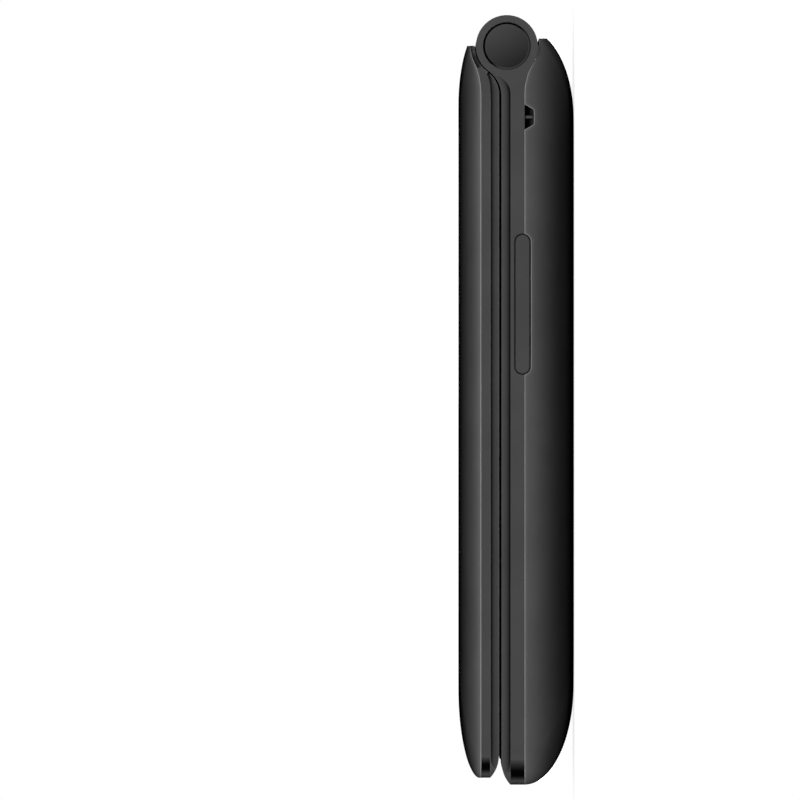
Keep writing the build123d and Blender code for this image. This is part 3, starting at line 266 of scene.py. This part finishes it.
def edge_share(tree, width, patchy=0.5):
    """1 on edges and corners and 0 on the faces between them, patchy as handling leaves them."""
    bevel = tree.nodes.new("ShaderNodeBevel")
    bevel.samples = 6
    bevel.inputs["Radius"].default_value = width
    geometry = tree.nodes.new("ShaderNodeNewGeometry")
    turn = tree.nodes.new("ShaderNodeVectorMath")
    turn.operation = "DOT_PRODUCT"
    tree.links.new(bevel.outputs["Normal"], turn.inputs[0])
    tree.links.new(geometry.outputs["Normal"], turn.inputs[1])
    edges = ranged(tree, turn.outputs["Value"], EDGE_TURN, (0, 1))
    patches = ranged(tree, noise(tree, 3 * MM, 4, 0.6), NOISE_SPAN, (1 - patchy, 1))
    return calculate(tree, "MULTIPLY", edges, patches)


def relief(tree, height, depth):
    """The surface normal that a height makes, at most depth metres deep."""
    bump = tree.nodes.new("ShaderNodeBump")
    bump.inputs["Strength"].default_value = 1.0
    bump.inputs["Distance"].default_value = depth
    tree.links.new(height, bump.inputs["Height"])
    return bump.outputs["Normal"]


def new_material(name, **sockets):
    """A material with its Principled shader; the named sockets take plain values."""
    material = bpy.data.materials.new(name)
    material.use_nodes = True
    shader = material.node_tree.nodes["Principled BSDF"]
    for socket, value in sockets.items():
        shader.inputs[socket.replace("_", " ").title().replace("Ior", "IOR")].default_value = value
    return material, material.node_tree, shader


def grey(level, warmth=0.0):
    """The linear colour of a display grey from 0 to 255, a little warmer or cooler."""
    share = level / 255
    value = share / 12.92 if share <= 0.04045 else ((share + 0.055) / 1.055) ** 2.4
    return value * (1 + warmth), value, value * (1 - warmth)


def scaled(colour, share):
    """A colour made darker or lighter by a share."""
    return tuple(part * share for part in colour)


# ------------------------------------------------------------------ painted shade and painted reflections on the plastics
HINGE = centre_of("hinge_cap_right")
# The hinge cap: its radius and rim, the painted shading over its face, and where a painted shadow turns
# its rim black.
CAP_R, CAP_RIM = 3.3 * MM, (3.24 * MM, 3.3 * MM)
CAP_SHADE, CAP_SHADE_ALONG, CAP_SHADE_UP = 0.52, 0.23, 0.14
RIM_WAY, RIM_TURN, RIM_SHADOW_SHARES = (0.62, 0.79), (-0.35, 0.0), (1, 0.02)
# The finger groove with its painted shade, the strip of painted black shade beside it, and the nose that
# the strip leaves out.
COVE_R, COVE_SHADE_SHARES, COVE_BEND = 1.28 * MM, (0.12, 1), 1.4
RIM_X, GAP_X, GAP_SHADE_SHARE = 26.88 * MM, 27.66 * MM, 0.04
NOSE_REACH = (LOW_END_Y + 3.8 * MM, LOW_END_Y + 4.0 * MM)
# The painted shade on the lip behind the lanyard opening, and on the hollow by the knuckle.
LIP_X, LIP_TOP_Z, LIP_SHADE_SHARE = 27.5 * MM, 7.55 * MM, 0.42
HOLLOW_PLACE = (HINGE.y - 2.2 * MM, HINGE.z + 4.6 * MM)
HOLLOW_REACH, HOLLOW_SHADE_SHARE = (0.4 * MM, 1.5 * MM), 0.45
# The painted dark reflection where each band turns its corner, measured from the microphone end.
TURN_NEAR, TURN_FAR_START = (0.6 * MM, 1.4 * MM), 2.0 * MM
FRAME_TURN_END, LID_TURN_END = 3.9 * MM, 3.2 * MM
TURN_BEND, TURN_SHARE = 1.8, 0.02
# The painted shade in the charging socket, the painted sheen along the covers' edges, and the width of a
# soft edge between two tones.
SOCKET_REACH, SOCKET_SHADE_SHARES = (0.15 * MM, 0.7 * MM), (1, 0.06)
PAINTED_SHEEN_WIDTH = 1.1 * MM
SOFT_EDGE = 0.1 * MM


def distance_from(tree, y, z):
    """How far a place lies from a line along X."""
    across = calculate(tree, "SUBTRACT", place_along(tree, "Y"), y)
    up = calculate(tree, "SUBTRACT", place_along(tree, "Z"), z)
    squares = [calculate(tree, "POWER", side, 2) for side in (across, up)]
    return calculate(tree, "SQRT", calculate(tree, "ADD", *squares))


def from_the_middle(tree):
    """How far a place lies to the left or right of the phone's middle."""
    return calculate(tree, "ABSOLUTE", place_along(tree, "X"))


def dark_turn(tree, node, far_end):
    """Painted reflection: a soft black stretch where a band turns its corner at the microphone end."""
    along = calculate(tree, "SUBTRACT", place_along(tree, "Y"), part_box(node)[0][1])
    near = ranged(tree, along, TURN_NEAR, (1, 0))
    far = ranged(tree, along, (TURN_FAR_START, far_end), (0, 1))
    clear = calculate(tree, "POWER", calculate(tree, "MAXIMUM", near, far), TURN_BEND)
    return ranged(tree, clear, (0, 1), (TURN_SHARE, 1))


def frame_tone(tree):
    """The frame's band with its painted dark reflection at the turn, and painted shade darkening the lip
    under it.
    """
    lip_side = ranged(tree, from_the_middle(tree), (LIP_X - SOFT_EDGE, LIP_X), (0, 1))
    above_lip = ranged(tree, place_along(tree, "Z"), (LIP_TOP_Z - SOFT_EDGE, LIP_TOP_Z), (0, 1))
    clear_of_lip_shade = ranged(tree, calculate(tree, "MAXIMUM", lip_side, above_lip), (0, 1), (LIP_SHADE_SHARE, 1))
    return calculate(tree, "MULTIPLY", clear_of_lip_shade, dark_turn(tree, "base_frame", FRAME_TURN_END))


def lid_frame_tone(tree):
    """The lid's band with its painted dark reflection at the turn, and painted shade in the hollow where
    it bends round the knuckle.
    """
    hollow = distance_from(tree, *HOLLOW_PLACE)
    clear_of_hollow_shade = ranged(tree, hollow, HOLLOW_REACH, (HOLLOW_SHADE_SHARE, 1), "SMOOTHSTEP")
    return calculate(tree, "MULTIPLY", clear_of_hollow_shade, dark_turn(tree, "lid_frame", LID_TURN_END))


def gap_tone(tree):
    """Painted shade: black in the narrow strip between the finger groove and the keypad's rim."""
    side = from_the_middle(tree)
    inside_rim = ranged(tree, side, (RIM_X - 0.06 * MM, RIM_X), (1, 0))
    in_groove = ranged(tree, side, (GAP_X - 0.04 * MM, GAP_X), (0, 1))
    on_nose = ranged(tree, place_along(tree, "Y"), NOSE_REACH, (1, 0))
    clear = calculate(tree, "MAXIMUM", calculate(tree, "MAXIMUM", inside_rim, in_groove), on_nose)
    return ranged(tree, clear, (0, 1), (GAP_SHADE_SHARE, 1))


def groove_tone(tree):
    """The finger groove with painted shade, darker towards the band, and the painted black strip beside
    it.
    """
    inward = calculate(tree, "SUBTRACT", SIDE_X, from_the_middle(tree))
    to_edge = calculate(tree, "DIVIDE", inward, COVE_R)
    cove = calculate(tree, "POWER", ranged(tree, to_edge, (0, 1), COVE_SHADE_SHARES), COVE_BEND)
    return calculate(tree, "MULTIPLY", cove, gap_tone(tree))


def socket_tone(tree):
    """Painted shade: bright at the mouth of the charging socket and dim inside it."""
    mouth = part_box("usb_socket")[0][1]
    inward = calculate(tree, "SUBTRACT", place_along(tree, "Y"), mouth)
    return ranged(tree, inward, SOCKET_REACH, SOCKET_SHADE_SHARES)


def weighed(tree, first, first_weight, second, second_weight):
    """The sum of two values, each times its own weight."""
    one = calculate(tree, "MULTIPLY", first, first_weight)
    other = calculate(tree, "MULTIPLY", second, second_weight)
    return calculate(tree, "ADD", one, other)


def cap_tone(tree):
    """The hinge cap with painted shading from one side to the other, and a painted shadow on half of its
    rim.
    """
    radius = distance_from(tree, HINGE.y, HINGE.z)
    along = calculate(tree, "SUBTRACT", place_along(tree, "Y"), HINGE.y)
    up = calculate(tree, "SUBTRACT", place_along(tree, "Z"), HINGE.z)
    shade = weighed(tree, along, CAP_SHADE_ALONG / CAP_R, up, CAP_SHADE_UP / CAP_R)
    disc = calculate(tree, "ADD", shade, CAP_SHADE)
    way = calculate(tree, "DIVIDE", weighed(tree, along, RIM_WAY[0], up, RIM_WAY[1]), radius)
    rim = ranged(tree, way, RIM_TURN, RIM_SHADOW_SHARES)
    on_rim = ranged(tree, radius, CAP_RIM, (0, 1))
    return weighed(tree, rim, on_rim, disc, calculate(tree, "SUBTRACT", 1, on_rim))


# ------------------------------------------------------------------ materials
# The tinted coat's share of light; its IOR of 1.0 makes it painted shade on surfaces seen flatly.
COAT_TINT_AND_GRAZING_SHADE = 0.75


def smoked(shader, tint_and_grazing_shade):
    """A tinted coat that lets the given share of the light through: partly a darker tone of its own and
    partly painted shade, since its IOR of 1.0 makes it darker the flatter the surface is seen.
    """
    shader.inputs["Coat Weight"].default_value = 1
    shader.inputs["Coat IOR"].default_value = 1.0
    shader.inputs["Coat Tint"].default_value = (tint_and_grazing_shade, tint_and_grazing_shade, tint_and_grazing_shade, 1)


def moulded(name, colour, gloss=0.45, specular=0.3, grain=0.12 * MM, depth=2.5e-6,
            edge=1.35, wear=0.12 * MM, tint_and_grazing_shade=1.0, halo=1.0, tone=None):
    """Moulded plastic: faintly patchy colour and gloss, a spark-eroded grain, and edges lightened partly
    by rubbing and partly as a painted highlight.

    A tint under 1 puts a tinted coat over it, partly a darker tone of its own and partly painted shade
    that deepens the flatter the surface is seen. A painted sheen over 1 lightens a wide soft border along
    its edges. The tone is a function that makes the share of its colour that each place keeps; each tone
    given here paints shade or a dark reflection.
    """
    material, tree, shader = new_material(name, specular_ior_level=specular)
    if tint_and_grazing_shade < 1:
        smoked(shader, tint_and_grazing_shade)
    patches = ranged(tree, noise(tree, 9 * MM, 4), NOISE_SPAN, (0, 1))
    body = blended(tree, patches, scaled(colour, 0.93), scaled(colour, 1.07))
    # Painted sheen: a wide soft border along the edges made lighter, standing in for light along the
    # covers' seams.
    if halo > 1:
        body = blended(tree, edge_share(tree, PAINTED_SHEEN_WIDTH, 0.1), body, scaled(colour, halo))
    # The edges are lightened partly by rubbing and partly as a painted highlight; the covers, the groove
    # and the bezel take the strongest painted highlight.
    lighter_edges = edge_share(tree, wear, 0.2)
    painted = blended(tree, lighter_edges, body, scaled(colour, edge))
    if tone:
        painted = blended(tree, tone(tree), BLACK, painted)
    tree.links.new(painted, shader.inputs["Base Color"])
    handled = ranged(tree, noise(tree, 5 * MM, 4, 0.6), NOISE_SPAN, (gloss - 0.06, gloss + 0.06))
    rubbed = calculate(tree, "MULTIPLY", lighter_edges, 0.1)
    tree.links.new(calculate(tree, "SUBTRACT", handled, rubbed), shader.inputs["Roughness"])
    tree.links.new(relief(tree, noise(tree, grain, 2, 0.6), depth), shader.inputs["Normal"])
    return material


def black(name, colour, gloss=0.4, **finish):
    """The phone's outer plastic: matt black under a tinted coat that adds painted shade where the surface
    is seen flatly.
    """
    return moulded(name, colour, gloss, 0, tint_and_grazing_shade=COAT_TINT_AND_GRAZING_SHADE, **finish)


def metal(name, colour, gloss, brush=(1, 1, 1), grain=0.08 * MM, depth=1.5e-6, tone=None):
    """Bare or plated metal: fine lines or grain along one way, cloudy gloss and bright edges."""
    material, tree, shader = new_material(name, metallic=1.0)
    cloud = ranged(tree, noise(tree, 2.5 * MM, 4), NOISE_SPAN, (0, 1))
    body = blended(tree, cloud, scaled(colour, 0.9), scaled(colour, 1.06))
    lighter_edges = edge_share(tree, 0.08 * MM, 0.2)
    painted = blended(tree, lighter_edges, body, scaled(colour, 1.3))
    if tone:
        painted = blended(tree, tone(tree), BLACK, painted)
    tree.links.new(painted, shader.inputs["Base Color"])
    lines = noise(tree, grain, 3, 0.6, brush)
    rough = ranged(tree, lines, NOISE_SPAN, (gloss - 0.08, gloss + 0.1))
    tree.links.new(rough, shader.inputs["Roughness"])
    tree.links.new(relief(tree, lines, depth), shader.inputs["Normal"])
    return material


def soft(name, colour, gloss=0.7):
    """Rubber or silicone: matt, dusty in patches, with a soft moulded skin."""
    material, tree, shader = new_material(name, specular_ior_level=0.25)
    dust = ranged(tree, noise(tree, 1.2 * MM, 5, 0.7), (0.45, 0.75), (0, 1))
    tree.links.new(blended(tree, dust, colour, scaled(colour, 1.5)), shader.inputs["Base Color"])
    skin = noise(tree, 0.3 * MM, 3)
    tree.links.new(ranged(tree, skin, NOISE_SPAN, (gloss - 0.1, gloss + 0.1)), shader.inputs["Roughness"])
    tree.links.new(relief(tree, skin, 8e-6), shader.inputs["Normal"])
    return material


def board(name):
    """A circuit board: green solder mask over raised copper runs."""
    material, tree, shader = new_material(name, specular_ior_level=0.4)
    runs = calculate(tree, "MULTIPLY", stripes(tree, 0.9 * MM, "X"), noise(tree, 4 * MM, 1))
    copper = ranged(tree, runs, (0.36, 0.4), (0, 1))
    mask = blended(tree, copper, (0.006, 0.05, 0.02), (0.02, 0.12, 0.045))
    tree.links.new(mask, shader.inputs["Base Color"])
    tree.links.new(ranged(tree, noise(tree, 2 * MM), NOISE_SPAN, (0.25, 0.4)), shader.inputs["Roughness"])
    tree.links.new(relief(tree, copper, 2e-5), shader.inputs["Normal"])
    return material


def film(name):
    """The flexible circuit: amber film with copper tracks along it."""
    material, tree, shader = new_material(name, specular_ior_level=0.5)
    tracks = ranged(tree, stripes(tree, 0.45 * MM, "X"), (0.45, 0.55), (0, 1))
    colour = blended(tree, tracks, (0.28, 0.1, 0.015), (0.5, 0.22, 0.05))
    tree.links.new(colour, shader.inputs["Base Color"])
    tree.links.new(ranged(tree, noise(tree, 1 * MM), NOISE_SPAN, (0.2, 0.35)), shader.inputs["Roughness"])
    tree.links.new(relief(tree, tracks, 1e-5), shader.inputs["Normal"])
    return material


def woven(name, colour, pitch):
    """A fine wire cloth: two sets of wires crossing, dark between them."""
    material, tree, shader = new_material(name, metallic=0.7)
    wires = calculate(tree, "MAXIMUM", stripes(tree, pitch, "X"), stripes(tree, pitch, "Y"))
    height = ranged(tree, wires, (0.35, 0.9), (0, 1))
    tree.links.new(blended(tree, height, scaled(colour, 0.08), colour), shader.inputs["Base Color"])
    rough = ranged(tree, noise(tree, 0.6 * MM), NOISE_SPAN, (0.35, 0.5))
    tree.links.new(rough, shader.inputs["Roughness"])
    tree.links.new(relief(tree, height, 4e-5), shader.inputs["Normal"])
    return material


def wrapped(name, colour):
    """The battery's shrunk plastic wrap: soft creases and a satin skin."""
    material, tree, shader = new_material(name, specular_ior_level=0.4)
    creases = noise(tree, 6 * MM, 5, 0.55, (1, 0.3, 1))
    share = ranged(tree, creases, (0.35, 0.65), (0, 1))
    creased = blended(tree, share, scaled(colour, 0.88), scaled(colour, 1.1))
    tree.links.new(creased, shader.inputs["Base Color"])
    tree.links.new(ranged(tree, creases, NOISE_SPAN, (0.38, 0.52)), shader.inputs["Roughness"])
    tree.links.new(relief(tree, creases, 6e-5), shader.inputs["Normal"])
    return material


def inside_window(tree, node, border):
    """1 over the lit area of a window and 0 on its printed border, from the node's box."""
    low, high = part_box(node)
    share = None
    for axis in (0, 1):
        middle, half = (low[axis] + high[axis]) / 2, (high[axis] - low[axis]) / 2 - border[axis]
        away = calculate(tree, "ABSOLUTE", calculate(tree, "SUBTRACT", place_along(tree, axis), middle))
        inside = calculate(tree, "LESS_THAN", away, half)
        share = inside if share is None else calculate(tree, "MULTIPLY", share, inside)
    return share


def glass(name, node, border, gloss=0.05):
    """A dark window: black printed border, a slightly lighter sleeping screen and faint finger smears."""
    material, tree, shader = new_material(name, specular_ior_level=0.3)
    # The tinted coat paints shade on the glass the flatter it is seen.
    smoked(shader, COAT_TINT_AND_GRAZING_SHADE)
    screen = inside_window(tree, node, border)
    tree.links.new(blended(tree, screen, grey(12), grey(30, -0.08)), shader.inputs["Base Color"])
    smears = ranged(tree, noise(tree, 7 * MM, 5, 0.65, (1, 0.4, 1)), (0.42, 0.7), (gloss, gloss + 0.14))
    tree.links.new(smears, shader.inputs["Roughness"])
    tree.links.new(relief(tree, noise(tree, 25 * MM, 1), 1e-5), shader.inputs["Normal"])
    return material


def panel(name):
    """A display panel's face: fine columns and rows under a dark polariser."""
    material, tree, shader = new_material(name, specular_ior_level=0.5)
    cells = calculate(tree, "MULTIPLY", stripes(tree, 0.18 * MM, "X"), stripes(tree, 0.18 * MM, "Y"))
    tree.links.new(blended(tree, cells, grey(16), grey(34, -0.1)), shader.inputs["Base Color"])
    rough = ranged(tree, noise(tree, 8 * MM), NOISE_SPAN, (0.12, 0.22))
    tree.links.new(rough, shader.inputs["Roughness"])
    return material


def ink(name, colour):
    """Printed marking ink that covers slightly unevenly."""
    material, tree, shader = new_material(name, specular_ior_level=0.2)
    cover = ranged(tree, noise(tree, 0.5 * MM, 5, 0.6), NOISE_SPAN, (0, 1))
    tree.links.new(blended(tree, cover, scaled(colour, 0.8), colour), shader.inputs["Base Color"])
    tree.links.new(ranged(tree, cover, (0, 1), (0.42, 0.55)), shader.inputs["Roughness"])
    tree.links.new(relief(tree, cover, 2e-6), shader.inputs["Normal"])
    return material


COVER, BAND = grey(101), grey(88)
MATERIALS = {
    # The covers carry a painted highlight on their edges and a painted sheen beside them; the lid cover's
    # copy of the plastic is painted lighter there than the rear cover's.
    "cover_plastic": black("cover_plastic", COVER, 0.45, edge=3.5, wear=0.3 * MM, halo=1.3),
    "lid_painted_sheen_plastic": black("lid_painted_sheen_plastic", COVER, 0.45, edge=3.8, wear=0.3 * MM, halo=1.5),
    "band_plastic": black("band_plastic", BAND),
    # The bands carry a painted dark reflection where they turn at the microphone end, and painted shade on
    # the frame's lip and in the lid frame's hollow.
    "frame_painted_shade_plastic": black("frame_painted_shade_plastic", BAND, tone=frame_tone),
    "lid_frame_painted_shade_plastic": black("lid_frame_painted_shade_plastic", BAND, tone=lid_frame_tone),
    # The groove's and the bezel's edges carry a painted highlight besides rubbing, and their tones are
    # painted shade.
    "housing_painted_shade_plastic": black("housing_painted_shade_plastic", BAND, edge=1.8, wear=0.2 * MM, tone=groove_tone),
    "bezel_painted_shade_plastic": black("bezel_painted_shade_plastic", BAND, edge=2.2, wear=0.2 * MM, tone=gap_tone),
    # The cap's tone is painted shading over its face and a painted shadow on its rim.
    "cap_painted_shade_plastic": black("cap_painted_shade_plastic", grey(93), tone=cap_tone),
    "key_plastic": black("key_plastic", grey(86), 0.38, wear=0.08 * MM),
    "nav_metal": metal("nav_metal", grey(125), 0.32, (0.08, 1, 1)),
    "silicone": soft("silicone", grey(120)),
    "bumper_rubber": soft("bumper_rubber", grey(40), 0.75),
    "spring_steel": metal("spring_steel", grey(190), 0.28),
    "tinned_steel": metal("tinned_steel", grey(170, 0.01), 0.34, (1, 0.1, 1)),
    # Painted shade darkens the inside of the charging socket.
    "socket_painted_shade_steel": metal("socket_painted_shade_steel", grey(105, 0.01), 0.36, (1, 0.1, 1), tone=socket_tone),
    "screw_steel": metal("screw_steel", grey(95), 0.38),
    "mesh_steel": woven("mesh_steel", grey(110), 0.16 * MM),
    "tungsten_weight": metal("tungsten_weight", grey(150), 0.42, grain=0.15 * MM, depth=4e-6),
    "circuit_board": board("circuit_board"),
    "contact_plastic": moulded("contact_plastic", grey(58), 0.45, 0.3),
    "component_body": moulded("component_body", grey(84), 0.4, 0.3),
    "antenna_plastic": moulded("antenna_plastic", (0.42, 0.29, 0.16), 0.5, 0.3),
    "battery_wrap": wrapped("battery_wrap", grey(110, 0.01)),
    "cam_acetal": moulded("cam_acetal", grey(205), 0.35, 0.4, edge=1.08),
    "flex_film": film("flex_film"),
    "window_glass": glass("window_glass", "outer_window", (2.4 * MM, 7.4 * MM)),
    "main_window_glass": glass("main_window_glass", "main_window", (2.0 * MM, 2.2 * MM)),
    "lens_glass": glass("lens_glass", "camera_lens", (1.1 * MM, 1.1 * MM), 0.02),
    "display_panel": panel("display_panel"),
    "white_ink": ink("white_ink", grey(222)),
    "green_ink": ink("green_ink", (0.03, 0.42, 0.09)),
    "red_ink": ink("red_ink", (0.55, 0.03, 0.03)),
}
NODE_MATERIALS = {
    "lid_cover": "lid_painted_sheen_plastic",
    "base_frame": "frame_painted_shade_plastic",
    "lid_frame": "lid_frame_painted_shade_plastic",
    "keypad_housing": "housing_painted_shade_plastic",
    "lid_bezel": "bezel_painted_shade_plastic",
    "hinge_cap_left": "cap_painted_shade_plastic",
    "hinge_cap_right": "cap_painted_shade_plastic",
    "main_window": "main_window_glass",
    "usb_socket": "socket_painted_shade_steel",
}


def dress_nodes():
    """Gives each node its own material, or else the one that its slot in the record names."""
    slots = {part["node"]: part["material_slot"] for part in frame["record"]["subparts"]}
    for name, node in nodes.items():
        node.data.materials.clear()
        node.data.materials.append(MATERIALS[NODE_MATERIALS.get(name, slots[name])])


# ------------------------------------------------------------------ marks on the keys
MARK_THICK = 0.02 * MM
DIGIT_SIZE, STAR_SHARE = 5.6 * MM, 1.5
DASH_LENGTH, DASH_WIDTH = 4.2 * MM, 0.7 * MM
HANDSET_RADIUS, HANDSET_GRIP, HANDSET_CUP = 3.2 * MM, 0.95 * MM, 2.0 * MM
HANDSET_SPREAD, HANDSET_CUP_ANGLE = 52, 22
CALL_TURN = 125
ARROW_HALF_WIDTH, ARROW_FOOT, ARROW_TIP = 0.9 * MM, 0.45 * MM, 0.65 * MM
ARROW_FROM_EDGE = 2.4 * MM
OK_DOT_RADIUS = 0.8 * MM
NUMBER_MARKS = {**{f"key_{digit}": str(digit) for digit in range(10)}, "key_star": "*", "key_hash": "#"}


def put_mark(name, mesh, node, body, material, offset=(0, 0)):
    """Lays a flat mark, centred on its own box, on top of a key, and lets it ride on the key's body."""
    corners = [Vector(vertex.co) for vertex in mesh.vertices]
    middle = Vector([(min(c[i] for c in corners) + max(c[i] for c in corners)) / 2 for i in range(3)])
    centre = centre_of(node)
    place = Vector((centre.x + offset[0], centre.y + offset[1], top_of(node))) - middle
    mesh.transform(Matrix.Translation(place))
    mesh.materials.clear()
    mesh.materials.append(MATERIALS[material])
    mark = bpy.data.objects.new(name, mesh)
    bpy.context.scene.collection.objects.link(mark)
    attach(mark, body)


def mesh_of_curve(curve):
    """The mesh that a text or a filled curve makes."""
    carrier = bpy.data.objects.new("carrier", curve)
    bpy.context.scene.collection.objects.link(carrier)
    mesh = bpy.data.meshes.new_from_object(carrier.evaluated_get(bpy.context.evaluated_depsgraph_get()))
    bpy.data.objects.remove(carrier)
    bpy.data.curves.remove(curve)
    return mesh


def text_mesh(text, size):
    curve = bpy.data.curves.new("text", "FONT")
    curve.body = text
    curve.size = size
    curve.extrude = MARK_THICK
    curve.resolution_u = 6
    return mesh_of_curve(curve)


def flat_mesh(name, outline):
    """A thin plate with the outline of the given points, its faces in the same order each run."""
    shape = bmesh.new()
    low, high = [[shape.verts.new((x, y, z)) for x, y in outline] for z in (-MARK_THICK, MARK_THICK)]
    shape.faces.new(low)
    shape.faces.new(high)
    for corner in range(len(outline)):
        shape.faces.new((low[corner - 1], low[corner], high[corner], high[corner - 1]))
    bmesh.ops.recalc_face_normals(shape, faces=shape.faces)
    mesh = bpy.data.meshes.new(name)
    shape.to_mesh(mesh)
    shape.free()
    return mesh


def arc(centre, radius, start, end, steps=16):
    """Points on an arc between two angles in degrees."""
    angles = [math.radians(start + (end - start) * step / steps) for step in range(steps + 1)]
    return [(centre[0] + radius * math.cos(a), centre[1] + radius * math.sin(a)) for a in angles]


def dash_outline(length, width):
    """A bar with round ends."""
    reach = (length - width) / 2
    return arc((reach, 0), width / 2, -90, 90) + arc((-reach, 0), width / 2, 90, 270)


def handset_outline():
    """A telephone handset: a curved grip that widens inward into a cup at each end."""
    left, right = 90 + HANDSET_SPREAD, 90 - HANDSET_SPREAD
    cup_radius, grip_radius = HANDSET_RADIUS - HANDSET_CUP, HANDSET_RADIUS - HANDSET_GRIP
    outer = arc((0, 0), HANDSET_RADIUS, left, right)
    right_cup = arc((0, 0), cup_radius, right, right + HANDSET_CUP_ANGLE, 4)
    inner = arc((0, 0), grip_radius, right + HANDSET_CUP_ANGLE, left - HANDSET_CUP_ANGLE)
    left_cup = arc((0, 0), cup_radius, left - HANDSET_CUP_ANGLE, left, 4)
    return outer + right_cup + inner + left_cup


def turned(outline, degrees):
    turn = Matrix.Rotation(math.radians(degrees), 2)
    return [tuple(turn @ Vector(point)) for point in outline]


def make_number_marks():
    """The digits, the star and the hash, each on its key."""
    for key, text in NUMBER_MARKS.items():
        size = DIGIT_SIZE * (STAR_SHARE if text == "*" else 1)
        put_mark(f"{key}_mark", text_mesh(text, size), key, key, "white_ink")


def make_sign_marks():
    """A dash on each soft key, and a handset on the call key and the end key."""
    for key in ("soft_left_key", "soft_right_key"):
        dash = flat_mesh(key, dash_outline(DASH_LENGTH, DASH_WIDTH))
        put_mark(f"{key}_mark", dash, key, key, "white_ink")
    call = flat_mesh("call", turned(handset_outline(), CALL_TURN))
    put_mark("call_key_mark", call, "call_key", "call_key", "green_ink")
    end = flat_mesh("end", handset_outline())
    put_mark("end_key_mark", end, "end_key", "end_key", "red_ink")


def make_nav_marks():
    """An arrow on each side of the navigation ring and a dot on the ok key."""
    arrow = [(-ARROW_HALF_WIDTH, -ARROW_FOOT), (ARROW_HALF_WIDTH, -ARROW_FOOT), (0, ARROW_TIP)]
    low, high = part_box("nav_ring")
    for index, degrees in enumerate((0, 90, 180, 270)):
        way = Matrix.Rotation(math.radians(degrees), 2) @ Vector((0, 1))
        half = (high[0] - low[0]) / 2 if index % 2 else (high[1] - low[1]) / 2
        offset = way * (half - ARROW_FROM_EDGE)
        triangle = flat_mesh("arrow", turned(arrow, degrees))
        put_mark(f"nav_arrow_{index}", triangle, "nav_ring", "nav_ring", "white_ink", offset)
    dot = flat_mesh("dot", arc((0, 0), OK_DOT_RADIUS, 0, 345, 23))
    put_mark("ok_key_mark", dot, "ok_key", "ok_key", "white_ink")


make_camera()
make_world()
make_floor()
make_lights()
dress_nodes()
make_number_marks()
make_sign_marks()
make_nav_marks()

bpy.context.scene.view_settings.view_transform = "Standard"
